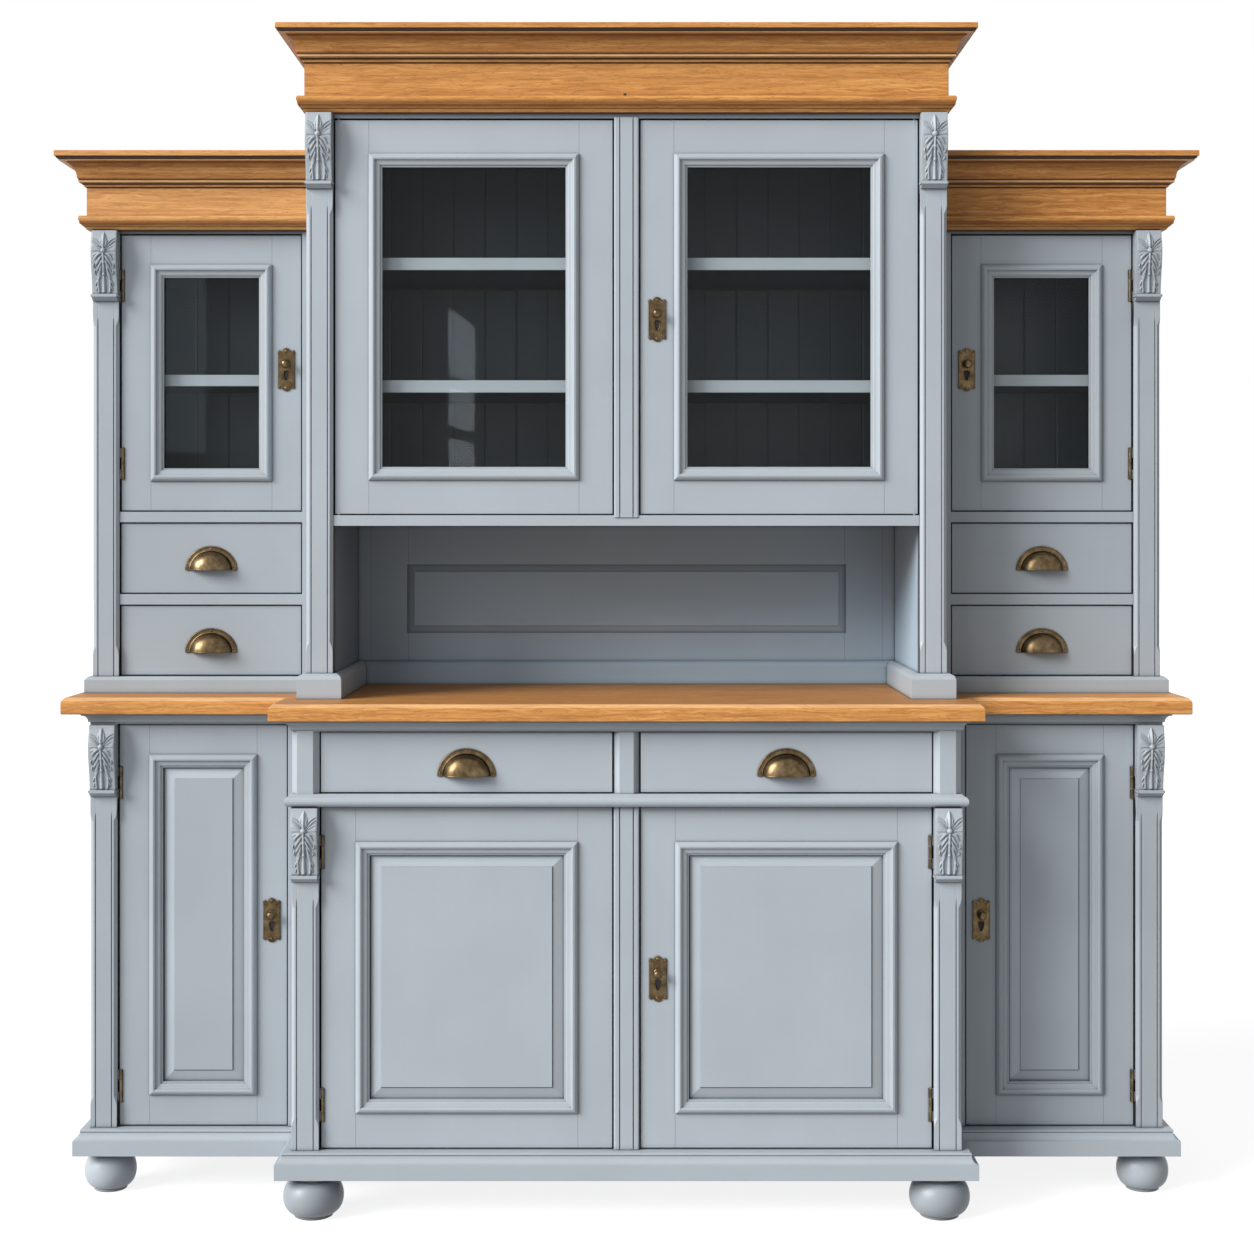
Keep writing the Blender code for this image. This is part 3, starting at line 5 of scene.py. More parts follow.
import bmesh
import bpy
import numpy as np
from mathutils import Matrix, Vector


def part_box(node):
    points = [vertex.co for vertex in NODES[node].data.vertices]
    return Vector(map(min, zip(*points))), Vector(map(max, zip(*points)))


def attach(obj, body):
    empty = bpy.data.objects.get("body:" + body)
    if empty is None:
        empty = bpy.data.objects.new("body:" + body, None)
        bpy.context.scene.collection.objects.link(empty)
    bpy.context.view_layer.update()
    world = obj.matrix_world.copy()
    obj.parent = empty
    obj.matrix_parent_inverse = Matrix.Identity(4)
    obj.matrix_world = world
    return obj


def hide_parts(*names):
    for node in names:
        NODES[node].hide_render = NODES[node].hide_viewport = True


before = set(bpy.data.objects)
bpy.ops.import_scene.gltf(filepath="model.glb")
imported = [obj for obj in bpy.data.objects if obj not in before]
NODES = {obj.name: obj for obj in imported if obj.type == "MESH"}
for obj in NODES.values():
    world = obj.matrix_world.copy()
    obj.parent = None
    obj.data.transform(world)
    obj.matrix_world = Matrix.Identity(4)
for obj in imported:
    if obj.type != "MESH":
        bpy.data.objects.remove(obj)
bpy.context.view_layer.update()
ROOT = "dresser"
SIDES = ((-1, "left"), (1, "right"))

# Places in the CAD, in metres: a door's edges, how far its front stands forward and how wide its stiles are,
# the inner face of the pilaster beside it, and the height at which the pilaster's corbel begins

DOOR_X = {
    "base_centre": (0.025, 0.533),
    "base": (0.616, 0.919),
    "upper_centre": (0.025, 0.5215),
    "upper": (0.6035, 0.936),
}
DOOR_Z = {
    "base_centre": (0.1225, 0.7170),
    "base": (0.1225, 0.8480),
    "upper_centre": (1.2300, 1.9348),
    "upper": (1.2370, 1.7467),
}
DOOR_FRONT = {"base_centre": -0.2075, "base": -0.0675, "upper_centre": -0.1155, "upper": 0.0175}
STILE = {"base_centre": 0.060, "base": 0.054, "upper_centre": 0.060, "upper": 0.054}
PILASTER_INNER = {"base_centre": 0.536, "base": 0.922, "upper_centre": 0.5245, "upper": 0.939}
CORBEL_LOW = {"base_centre": 0.58, "base": 0.71, "upper_centre": 1.80, "upper": 1.61}
POST_HALF = 0.0225


# Node trees


class Tree:
    """The node tree of a new material or world, with short calls for the nodes that they share."""

    def __init__(self, name, kind="materials"):
        self.owner = getattr(bpy.data, kind).new(name)
        self.owner.use_nodes = True
        self.tree = self.owner.node_tree
        self.nodes = self.tree.nodes
        self.shader = self.nodes.get("Principled BSDF")

    def link(self, source, target):
        self.tree.links.new(source, target)

    def feed(self, value, socket):
        """Links a socket to another node's, or sets its value."""
        if isinstance(value, bpy.types.NodeSocket):
            self.link(value, socket)
        else:
            socket.default_value = value

    def node(self, kind, **settings):
        made = self.nodes.new(kind)
        for key, value in settings.items():
            setattr(made, key, value)
        return made

    def place(self):
        """A point's place in the row frame at rest."""
        return self.node("ShaderNodeTexCoord").outputs["Object"]

    def mapped(self, source, scale, location=(0, 0, 0)):
        mapping = self.node("ShaderNodeMapping")
        mapping.inputs["Scale"].default_value = scale
        mapping.inputs["Location"].default_value = location
        self.link(source, mapping.inputs["Vector"])
        return mapping.outputs["Vector"]

    def noise(self, source, scale, detail=4.0, roughness=0.55, distortion=0.0):
        noise = self.node("ShaderNodeTexNoise")
        noise.inputs["Scale"].default_value = scale
        noise.inputs["Detail"].default_value = detail
        noise.inputs["Roughness"].default_value = roughness
        noise.inputs["Distortion"].default_value = distortion
        self.link(source, noise.inputs["Vector"])
        return noise.outputs["Fac"]

    def ramp(self, source, stops):
        ramp = self.node("ShaderNodeValToRGB")
        while len(ramp.color_ramp.elements) < len(stops):
            ramp.color_ramp.elements.new(0.5)
        for element, (position, colour) in zip(ramp.color_ramp.elements, stops):
            element.position = position
            element.color = (*colour, 1.0)
        self.link(source, ramp.inputs["Fac"])
        return ramp.outputs["Color"]

    def mix(self, factor, first, second):
        mix = self.node("ShaderNodeMix", data_type="RGBA")
        for value, socket in ((factor, mix.inputs[0]), (first, mix.inputs[6]), (second, mix.inputs[7])):
            self.feed((*value, 1.0) if isinstance(value, tuple) else value, socket)
        return mix.outputs[2]

    def math(self, operation, first, second=None):
        node = self.node("ShaderNodeMath", operation=operation)
        self.feed(first, node.inputs[0])
        if second is not None:
            self.feed(second, node.inputs[1])
        return node.outputs[0]

    def range(self, source, low, high, to_low, to_high):
        node = self.node("ShaderNodeMapRange")
        for socket, value in (("From Min", low), ("From Max", high), ("To Min", to_low), ("To Max", to_high)):
            node.inputs[socket].default_value = value
        self.link(source, node.inputs["Value"])
        return node.outputs["Result"]

    def bump(self, height, distance, strength):
        bump = self.node("ShaderNodeBump")
        bump.inputs["Distance"].default_value = distance
        bump.inputs["Strength"].default_value = strength
        self.link(height, bump.inputs["Height"])
        return bump

    def normal(self, height, distance, strength, radius):
        """Bump from a height, over edges rounded by radius."""
        bump = self.bump(height, distance, strength)
        bevel = self.node("ShaderNodeBevel", samples=3)
        bevel.inputs["Radius"].default_value = radius
        self.link(bevel.outputs["Normal"], bump.inputs["Normal"])
        self.link(bump.outputs["Normal"], self.shader.inputs["Normal"])

    def occlusion(self, distance):
        """How open a point's surroundings are, up to a distance."""
        occlusion = self.node("ShaderNodeAmbientOcclusion", samples=3)
        occlusion.inputs["Distance"].default_value = distance
        return occlusion.outputs["AO"]

    def corner_shade(self, tone, soft, tight, dark):
        """Painted shade: the tone, darker within about 12 mm of an inner corner and nearly black right in it.
        """
        for distance, low, high, most in ((0.012, 0.15, 0.80, soft), (0.0035, 0.50, 0.82, tight)):
            tone = self.mix(self.range(self.occlusion(distance), low, high, most, 0.0), tone, dark)
        return tone

    def set(self, name, value):
        self.feed(value, self.shader.inputs[name])

    def surface(self, source):
        """Takes a shader in place of the standard one."""
        self.nodes.remove(self.shader)
        self.link(source, self.nodes["Material Output"].inputs["Surface"])

    def emission(self, colour):
        glow = self.node("ShaderNodeEmission")
        glow.inputs["Color"].default_value = (*colour, 1.0)
        return glow

    def seen(self):
        """1 for what the camera sees, straight or in gloss or glass, and 0 for what lights the object."""
        path = self.node("ShaderNodeLightPath").outputs
        straight = self.math("MAXIMUM", path["Is Camera Ray"], path["Is Glossy Ray"])
        return self.math("MAXIMUM", straight, path["Is Transmission Ray"])


def times(colour, share):
    return tuple(channel * share for channel in colour)


def along_grain(tree, long_scale, cross_scale, upright, sway=0.0):
    """Coordinates stretched along the boards, upright or level. The grain wanders by sway to either side."""
    place = tree.place()
    if sway:
        drift = tree.noise(tree.mapped(place, scale=(15.0, 15.0, 42.0)), 1.0, detail=1.0)
        offset = tree.node("ShaderNodeCombineXYZ")
        for axis in ("Y", "Z"):
            tree.link(tree.range(drift, 0.0, 1.0, -sway, sway), offset.inputs[axis])
        moved = tree.node("ShaderNodeVectorMath", operation="ADD")
        tree.link(place, moved.inputs[0])
        tree.link(offset.outputs[0], moved.inputs[1])
        place = moved.outputs[0]
    if upright:
        return tree.mapped(place, scale=(cross_scale, cross_scale, long_scale))
    geometry = tree.node("ShaderNodeNewGeometry")
    normal = tree.node("ShaderNodeSeparateXYZ")
    tree.link(geometry.outputs["True Normal"], normal.inputs[0])
    side = tree.math("GREATER_THAN", tree.math("ABSOLUTE", normal.outputs["X"]), 0.55)
    front = tree.mapped(place, (long_scale, cross_scale, cross_scale))
    flank = tree.mapped(place, (cross_scale, long_scale, cross_scale), location=(3.1, 1.7, 0.4))
    mix = tree.node("ShaderNodeMix", data_type="VECTOR")
    tree.link(side, mix.inputs[0])
    tree.link(front, mix.inputs[4])
    tree.link(flank, mix.inputs[5])
    return mix.outputs[1]


def paint(name, colour, upright=True, shade=1.0):
    """Satin paint on wood: faint brush marks along the grain, soft mottling, and painted shade in the
    corners.
    """
    tree = Tree(name)
    colour = times(colour, shade)
    cloud = tree.noise(tree.place(), 5.0, detail=3.0)
    strokes = tree.noise(along_grain(tree, 6.0, 260.0, upright), 1.0, detail=5.0, roughness=0.65)
    pores = tree.noise(along_grain(tree, 30.0, 900.0, upright), 1.0, detail=3.0)
    base = tree.mix(tree.range(cloud, 0.30, 0.70, 0.0, 1.0), times(colour, 0.955), times(colour, 1.035))
    base = tree.mix(tree.range(strokes, 0.35, 0.75, 0.0, 0.16), base, times(colour, 0.90))
    base = tree.corner_shade(base, 0.70, 0.80, times(colour, 0.16))
    tree.set("Base Color", base)
    tree.set("Roughness", tree.range(strokes, 0.3, 0.7, 0.36, 0.48))
    tree.set("Specular IOR Level", 0.45)
    height = tree.math("ADD", tree.math("MULTIPLY", strokes, 0.8), tree.math("MULTIPLY", pores, 0.35))
    tree.normal(height, 0.00025, 0.55, radius=0.0011)
    return tree.owner


def oak(name, shade=1.0):
    """Oiled oak: wavy growth lines, short pores, a broad figure, and painted shade in the corners. A shade
    under 1 is redder and darker, which paints shade; over 1 paler, which paints light, except on the trays,
    whose wood is paler.
    """
    tree = Tree(name)
    sway = 0.0065
    figure = along_grain(tree, 0.9, 9.0, False)
    broad = tree.noise(figure, 1.0, detail=3.0, roughness=0.5, distortion=0.6)
    growth = along_grain(tree, 7.0, 190.0, False, sway)
    lines = tree.noise(growth, 1.0, detail=4.0, roughness=0.60, distortion=0.5)
    fine = tree.noise(along_grain(tree, 22.0, 430.0, False, sway), 1.0, detail=3.0, roughness=0.6)
    pores = tree.noise(along_grain(tree, 60.0, 760.0, False, sway), 1.0, detail=2.0)
    tone = tree.ramp(
        lines,
        (
            (0.28, (0.330, 0.122, 0.028)),
            (0.42, (0.480, 0.202, 0.052)),
            (0.55, (0.615, 0.287, 0.083)),
            (0.72, (0.765, 0.405, 0.138)),
        ),
    )
    tone = tree.mix(tree.range(broad, 0.32, 0.70, 0.0, 0.45), tone, (0.520, 0.240, 0.070))
    tone = tree.mix(tree.range(fine, 0.48, 0.72, 0.0, 0.42), tone, (0.330, 0.135, 0.040))
    tone = tree.mix(tree.range(pores, 0.60, 0.68, 0.0, 0.60), tone, (0.190, 0.075, 0.022))
    if shade < 1.0:
        tone = tree.mix(1.0 - shade, tone, (0.120, 0.030, 0.004))
    elif shade > 1.0:
        tone = tree.mix(shade - 1.0, tone, (0.980, 0.760, 0.480))
    tone = tree.corner_shade(tone, 0.70, 0.88, (0.060, 0.022, 0.007))
    tree.set("Base Color", tone)
    tree.set("Roughness", tree.range(fine, 0.3, 0.7, 0.42, 0.58))
    tree.set("Specular IOR Level", 0.26)
    height = tree.math("SUBTRACT", tree.math("MULTIPLY", fine, 0.6), tree.math("MULTIPLY", pores, 0.8))
    tree.normal(height, 0.00030, 0.6, radius=0.0010)
    return tree.owner


def brass(name, shade):
    """Antique brass: a brown patina, brighter where it is rubbed, darker in the corners."""
    tree = Tree(name)
    blotch = tree.noise(tree.place(), 75.0, detail=5.0, roughness=0.6)
    speck = tree.noise(tree.place(), 620.0, detail=3.0)
    tone = tree.ramp(
        blotch,
        (
            (0.30, times((0.090, 0.058, 0.028), shade)),
            (0.52, times((0.170, 0.118, 0.062), shade)),
            (0.74, times((0.270, 0.202, 0.122), shade)),
        ),
    )
    tone = tree.mix(tree.range(tree.occlusion(0.005), 0.3, 0.9, 0.85, 0.0), tone, (0.030, 0.018, 0.009))
    tree.set("Base Color", tone)
    tree.set("Metallic", 1.0)
    tree.set("Roughness", tree.range(speck, 0.3, 0.7, 0.30, 0.42))
    tree.normal(speck, 0.00012, 0.5, radius=0.0003)
    return tree.owner


def glass(name):
    """A clear pane: what is behind shows through, and the room shows faintly on it."""
    tree = Tree(name)
    clear = tree.node("ShaderNodeBsdfTransparent")
    clear.inputs["Color"].default_value = (0.94, 0.95, 0.95, 1.0)
    gloss = tree.node("ShaderNodeBsdfGlossy")
    gloss.inputs["Color"].default_value = (1.0, 1.0, 1.0, 1.0)
    gloss.inputs["Roughness"].default_value = 0.015
    bump = tree.bump(tree.noise(tree.place(), 9.0, detail=1.0), 0.0006, 0.06)
    tree.link(bump.outputs["Normal"], gloss.inputs["Normal"])
    fresnel = tree.node("ShaderNodeFresnel")
    fresnel.inputs["IOR"].default_value = 1.45
    mix = tree.node("ShaderNodeMixShader")
    tree.link(tree.math("MULTIPLY", fresnel.outputs[0], 0.24), mix.inputs[0])
    tree.link(clear.outputs[0], mix.inputs[1])
    tree.link(gloss.outputs[0], mix.inputs[2])
    tree.surface(mix.outputs[0])
    return tree.owner


def plain_dark(name, colour, roughness):
    """A plain dark colour. It paints shadow in grooves, quirks and beside fields and shade in the keyhole,
    and is the dark of the joint lines and the frieze's plug.
    """
    tree = Tree(name)
    grain = tree.noise(tree.place(), 400.0, detail=2.0)
    tree.set("Base Color", tree.mix(grain, colour, times(colour, 0.6)))
    tree.set("Roughness", roughness)
    return tree.owner


GREY_BLUE = (0.375, 0.420, 0.463)
NICHE_BLUE = (0.322, 0.412, 0.500)


def grey_blue(word, shade=1.0, upright=True, colour=GREY_BLUE):
    """The dresser's paint. Copies with a shade paint light and shade as in the photo: darker wings, centre
    feet and rail under a cornice, a darker, bluer niche with a dark left wall and a light right wall, lighter
    and darker panel bevels and lighter shelf fronts.
    """
    return paint("grey_blue_paint_" + word, colour, upright, shade)


PAINT = grey_blue("upright")
PAINT_LEVEL = grey_blue("level", upright=False)
# Painted light and shade in copies of the paint: darker wings; a darker, bluer niche, its left wall dark and
# its right wall light; lighter and darker panel bevels; lighter shelf fronts; darker centre feet; a dark rail
# under each cornice
SHADED_WING_PAINT = grey_blue("wing", 0.89)
SHADED_WING_LEVEL = grey_blue("wing_level", 0.86, upright=False)
NICHE_SHADE = grey_blue("niche", 0.94, False, NICHE_BLUE)
NICHE_WALL_SHADE = grey_blue("niche_dark", 0.58, True, NICHE_BLUE)
NICHE_WALL_LIGHT = grey_blue("niche_light", 1.15, True, NICHE_BLUE)
NICHE_LOW_SHADE = grey_blue("niche_low", 0.96, False, NICHE_BLUE)
BEVEL_PAINTED_LIGHT = grey_blue("bevel_light", 1.10)
BEVEL_PAINTED_SHADE = grey_blue("bevel_dark", 0.88)
SHELF_FRONT_LIGHT = grey_blue("shelf", 1.22, upright=False)
FOOT_SHADE = grey_blue("foot", 0.74, upright=False)
RAIL_SHADOW = grey_blue("under_cornice", 0.50, upright=False)
# Painted shade: dark paint inside the glazed cupboards and on the edges that face the gaps
INSIDE_SHADE = paint("dark_grey_inside", (0.016, 0.034, 0.050))
GAP_SHADE = paint("dark_grey_edge", (0.072, 0.080, 0.088))
OAK = oak("oiled_oak")
# Painted light and shade in copies of the oak: a darker worktop top in the middle, lighter rounded edges and
# beads, darker hollows and undersides, a lighter left cornice and a darker right one; the trays' oak is a
# paler wood
OAK_TOP_SHADE = oak("oiled_oak_top", 0.76)
OAK_HIGHLIGHT = oak("oiled_oak_edge", 1.22)
OAK_HOLLOW_SHADE = oak("oiled_oak_hollow", 0.72)
OAK_UNDER_SHADE = oak("oiled_oak_underside", 0.30)
OAK_LEFT_LIGHT = oak("oiled_oak_left", 1.07)
OAK_RIGHT_SHADE = oak("oiled_oak_right", 0.90)
TRAY = oak("pale_wood_tray", 1.45)
BRASS = brass("antique_brass", 0.80)
BRASS_DARK = brass("antique_brass_plate", 0.72)
GLASS = glass("clear_glass")
# Painted shade in the keyhole, and painted shadow in grooves, beside the fields and in the cornices' quirks;
# the joint lines and the plug are dark in their own right
BLACK = plain_dark("dark_hole", (0.010, 0.009, 0.008), 0.8)
LINE = plain_dark("paint_in_a_joint", (0.210, 0.235, 0.260), 0.6)
GROOVE_SHADOW_LINE = plain_dark("shadow_in_a_groove", (0.020, 0.021, 0.023), 0.8)
SHADOW_LINE = plain_dark("shadow_beside_a_field", (0.135, 0.150, 0.165), 0.7)
OAK_SHADOW_LINE = plain_dark("dark_oak_line", (0.040, 0.017, 0.006), 0.7)


# Nodes with a level grain, as drawers have, and the first words of the nodes of the wings

LEVEL = ("plinth", "lower_shelf", "upper_shelf")
WINGS = ("base_left", "base_right", "upper_left", "upper_right", "wing")


def node_material(name):
    """What a CAD node is made of."""
    wing = name.startswith(WINGS) and not name.startswith(("base_left_drawer", "base_right_drawer"))
    if name == "worktop" or name.startswith("cornice"):
        # The side cornices: painted light on the left one and painted shade on the right one
        return {"cornice_left": OAK_LEFT_LIGHT, "cornice_right": OAK_RIGHT_SHADE}.get(name, OAK)
    if name.endswith("_glass"):
        return GLASS
    if name.endswith(("_pull", "_escutcheon")):
        return BRASS
    # Painted shade on the niche's back: darker, bluer paint
    if name == "niche_back_panel":
        return NICHE_SHADE
    # The wings take painted shade: darker copies of the paint
    if name in LEVEL or name.endswith("_drawer"):
        return SHADED_WING_LEVEL if wing else PAINT_LEVEL
    return SHADED_WING_PAINT if wing else PAINT


for name, obj in NODES.items():
    obj.data.materials.clear()
    obj.data.materials.append(node_material(name))


# Faces of the nodes with a material of their own, chosen by their centre and normal: mostly painted light and
# shade


def face_materials(node, extra, choose):
    """Gives the faces that choose(centre, normal) picks an extra material."""
    mesh = NODES[node].data
    mesh.materials.append(extra)
    index = len(mesh.materials) - 1
    for face in mesh.polygons:
        if choose(face.center, face.normal):
            face.material_index = index


def near(value, places, reach=0.0007):
    return any(abs(value - place) < reach for place in places)


def inside_box(low, high):
    return lambda c, n: all(low[i] < c[i] < high[i] for i in range(3))


def sideways(places, low=0.0, high=2.0):
    """Faces that look to a side, at some x and between two heights."""
    return lambda c, n: abs(n[0]) > 0.9 and near(c[0], places) and low < c[2] < high


NICHE_HALF = PILASTER_INNER["upper_centre"]
NICHE_CEILING = 1.2084
WING_SHELF = (1.4685, 1.4905)
# Painted shade: the dark inside paint on the faces within the glazed cupboards, all but the fronts of the
# wings' shelves
face_materials("upper_centre_carcass", INSIDE_SHADE, inside_box((-0.526, -0.094, 1.2261), (0.526, 0.241, 1.9298)))
for side, word in SIDES:
    left, right = sorted((side * 0.5893, side * 0.9705))
    room = inside_box((left, 0.0405, 1.2340), (right, 0.2410, 1.7370))
    face_materials(
        f"upper_{word}_carcass",
        INSIDE_SHADE,
        lambda c, n, room=room: room(c, n) and not (n[1] < -0.9 and WING_SHELF[0] < c[2] < WING_SHELF[1]),
    )
# Painted shade on the niche's left wall and ceiling, painted light on its right wall, and painted shade,
# darker and bluer, low on its back
for side, shaded_material in ((-1, NICHE_WALL_SHADE), (1, NICHE_WALL_LIGHT)):
    face_materials("upper_centre_carcass", shaded_material, sideways((side * NICHE_HALF,), 0.94, 1.21))
face_materials("upper_centre_carcass", NICHE_SHADE, lambda c, n: n[2] < -0.9 and near(c[2], (NICHE_CEILING,)))
face_materials(
    "upper_centre_carcass",
    NICHE_LOW_SHADE,
    lambda c, n: n[1] < -0.2 and abs(c[0]) < 0.53 and 0.8 < c[2] < 0.9475 and c[1] > 0.19,
)
# Painted shade on the worktop's top in the middle, and a painted highlight on its rounded edges
face_materials("worktop", OAK_TOP_SHADE, lambda c, n: n[2] > 0.95 and abs(c[0]) < 0.6)
face_materials("worktop", OAK_HIGHLIGHT, lambda c, n: 0.25 < n[2] < 0.95)

# The cornices: lower edge, heights of base, torus, frieze, beads, hollow and fillet, and how far the top and
# the base stand out

CORNICES = (
    ("centre", 1.9466, (0.0170, 0.0110, 0.0604, 0.0170, 0.0350, 0.0100), 0.0475, 0.0025),
    ("left", 1.7550, (0.0140, 0.0108, 0.0532, 0.0150, 0.0350, 0.0105), 0.0570, 0.0090),
    ("right", 1.7550, (0.0140, 0.0108, 0.0532, 0.0150, 0.0350, 0.0105), 0.0570, 0.0090),
)
# Painted shade on each cornice: darker oak on its hollows, quirks and undersides, and dark paint on the rail
# beneath it
for word, low, heights, _, _ in CORNICES:
    node = f"cornice_{word}"
    rail = (DOOR_Z["upper_centre" if word == "centre" else "upper"][1], low)
    base = heights[0]
    under = low + sum(heights[:5])
    for shaded_material, bottom, top in (
        (OAK_HOLLOW_SHADE, low + 0.37 * base, low + 0.67 * base),
        (OAK_UNDER_SHADE, low + 0.67 * base, low + base + 0.0002),
        (OAK_HOLLOW_SHADE, under - 0.0349, under - 0.0250),
        (OAK_HOLLOW_SHADE, under - 0.0170, under - 0.0095),
        (OAK_UNDER_SHADE, under - 0.0095, under - 0.0045),
        (OAK_SHADOW_LINE, under - 0.0045, under + 0.0002),
    ):
        face_materials(node, shaded_material, lambda c, n, low=bottom, high=top: low < c[2] < high and n[2] < 0.3)
    face_materials(node, OAK_UNDER_SHADE, lambda c, n: n[2] < -0.90)
    node = f"upper_{word}_carcass"
    face_materials(node, RAIL_SHADOW, lambda c, n, rail=rail: n[1] < -0.3 and rail[0] < c[2] < rail[1])
# Painted light on the shelf fronts, and painted shade on the shelves' faces inside the glazed cupboards
for shelf in ("lower_shelf", "upper_shelf"):
    face_materials(shelf, SHELF_FRONT_LIGHT, lambda c, n: n[1] < -0.9)
    face_materials(shelf, INSIDE_SHADE, lambda c, n: abs(n[2]) > 0.9)
for side, word in SIDES:
    front = inside_box((-0.965, 0.0300, 1.4680), (0.965, 0.230, 1.4910))
    face_materials(f"upper_{word}_carcass", SHELF_FRONT_LIGHT, lambda c, n, front=front: n[1] < -0.9 and front(c, n))

# Painted shade: dark paint on the edges that face the gaps of doors and drawers

DRAWER_FRONT = 0.018
for side, word in SIDES:
    for stem, inner in PILASTER_INNER.items():
        xs = [side * x for x in DOOR_X[stem]]
        face_materials(
            f"{stem}_{word}_door_frame",
            GAP_SHADE,
            lambda c, n, xs=xs, zs=DOOR_Z[stem]: sideways(xs)(c, n) or (abs(n[2]) > 0.9 and near(c[2], zs)),
        )
        face_materials(f"{stem}_{word}_pilaster", GAP_SHADE, sideways((side * inner,), high=CORBEL_LOW[stem]))
    for stem in (f"base_{word}_drawer", f"upper_{word}_lower_drawer", f"upper_{word}_upper_drawer"):
        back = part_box(stem)[0][1] + DRAWER_FRONT - 0.0001
        face_materials(stem, GAP_SHADE, lambda c, n, back=back: c[1] < back and abs(n[1]) < 0.9)
        face_materials(stem, TRAY, lambda c, n, back=back: c[1] > back)
for node in ("base_centre_carcass", "upper_centre_carcass"):
    face_materials(node, GAP_SHADE, sideways((-POST_HALF, POST_HALF)))
for node, tops in (
    ("base_centre_carcass", (DOOR_Z["base_centre"][1], 0.8480)),
    ("base_left_carcass", (DOOR_Z["base"][1],)),
    ("base_right_carcass", (DOOR_Z["base"][1],)),
    ("upper_centre_carcass", (DOOR_Z["upper_centre"][1],)),
    ("upper_left_carcass", (DOOR_Z["upper"][1], 1.0600)),
    ("upper_right_carcass", (DOOR_Z["upper"][1], 1.0600)),
):
    face_materials(node, GAP_SHADE, lambda c, n, tops=tops: n[2] < -0.9 and near(c[2], tops, 0.0045))

# The bevels of the raised panels: painted light to the left and above, painted shade to the right and below

for node in NODES:
    if node.endswith("_panel") and "door" in node:
        face_materials(node, BEVEL_PAINTED_LIGHT, lambda c, n: n[1] < -0.5 and (n[0] < -0.1 or n[2] > 0.1))
        face_materials(node, BEVEL_PAINTED_SHADE, lambda c, n: n[1] < -0.5 and (n[0] > 0.1 or n[2] < -0.1))


# New pieces


def added(name, data):
    obj = bpy.data.objects.new(name, data)
    bpy.context.scene.collection.objects.link(obj)
    return obj


def mesh_piece(name, verts, faces, material, body=ROOT, smooth=True, angle=40):
    mesh = bpy.data.meshes.new(name)
    mesh.from_pydata([tuple(v) for v in verts], [], [tuple(f) for f in faces])
    bm = bmesh.new()
    bm.from_mesh(mesh)
    bmesh.ops.remove_doubles(bm, verts=bm.verts, dist=1e-7)
    bmesh.ops.recalc_face_normals(bm, faces=bm.faces)
    bm.to_mesh(mesh)
    bm.free()
    mesh.materials.append(material)
    obj = added(name, mesh)
    if smooth:
        mesh.shade_smooth()
        mesh.set_sharp_from_angle(angle=math.radians(angle))
    if body:
        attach(obj, body)
    return obj


def dressed(name, groups, material, slot, replaced=None, **settings):
    """A piece made of several (verts, faces), in a material, perhaps in place of a CAD node, which it hides.
    The slot is not used.
    """
    obj = mesh_piece(name, *merge(groups), material, **settings)
    if replaced:
        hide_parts(replaced)


def lathe(profile, steps, centre, axis="Z", scale=1.0):
    """Vertices and faces of a turned form: profile of (radius, distance) along the axis."""
    verts = []
    faces = []
    for radius, distance in profile:
        for step in range(steps):
            angle = 2 * math.pi * step / steps
            across = radius * math.cos(angle) * scale
            up = radius * math.sin(angle) * scale
            along = distance * scale
            if axis == "Z":
                verts.append((centre[0] + across, centre[1] + up, centre[2] + along))
            else:
                verts.append((centre[0] + across, centre[1] - along, centre[2] + up))
    rows = len(profile)
    for row in range(rows - 1):
        for step in range(steps):
            after = (step + 1) % steps
            faces.append(
                (row * steps + step, row * steps + after, (row + 1) * steps + after, (row + 1) * steps + step)
            )
    faces.append(tuple(range(steps)))
    faces.append(tuple(reversed(range((rows - 1) * steps, rows * steps))))
    return verts, faces


def tube(points, radius, sides=8, closed=False):
    """Vertices and faces of a round bar along a line of points."""
    verts = []
    count = len(points)
    upward = Vector((0, 0, 1))
    for i, point in enumerate(points):
        before = points[i - 1] if i or closed else point
        after = points[(i + 1) % count] if i < count - 1 or closed else point
        along = (Vector(after) - Vector(before)).normalized()
        first = (along.orthogonal() if abs(along.z) > 0.9 else along.cross(upward)).normalized()
        second = along.cross(first)
        for side in range(sides):
            angle = 2 * math.pi * side / sides
            verts.append(tuple(Vector(point) + radius * (math.cos(angle) * first + math.sin(angle) * second)))
    faces = []
    for i in range(count if closed else count - 1):
        after = (i + 1) % count
        for side in range(sides):
            other = (side + 1) % sides
            faces.append((i * sides + side, i * sides + other, after * sides + other, after * sides + side))
    if not closed:
        faces.append(tuple(range(sides)))
        faces.append(tuple(reversed(range((count - 1) * sides, count * sides))))
    return verts, faces


def merge(groups):
    """Several (verts, faces) as one."""
    verts = []
    faces = []
    for more_verts, more_faces in groups:
        start = len(verts)
        verts.extend(more_verts)
        faces.extend(tuple(i + start for i in face) for face in more_faces)
    return verts, faces


def bend(points, steps=8):
    """A smooth line through three points."""
    line = []
    for step in range(steps + 1):
        t = step / steps
        shares = (2 * t * t - 3 * t + 1, 4 * t - 4 * t * t, 2 * t * t - t)
        line.append(tuple(sum(s * p[i] for s, p in zip(shares, points)) for i in range(len(points[0]))))
    return line


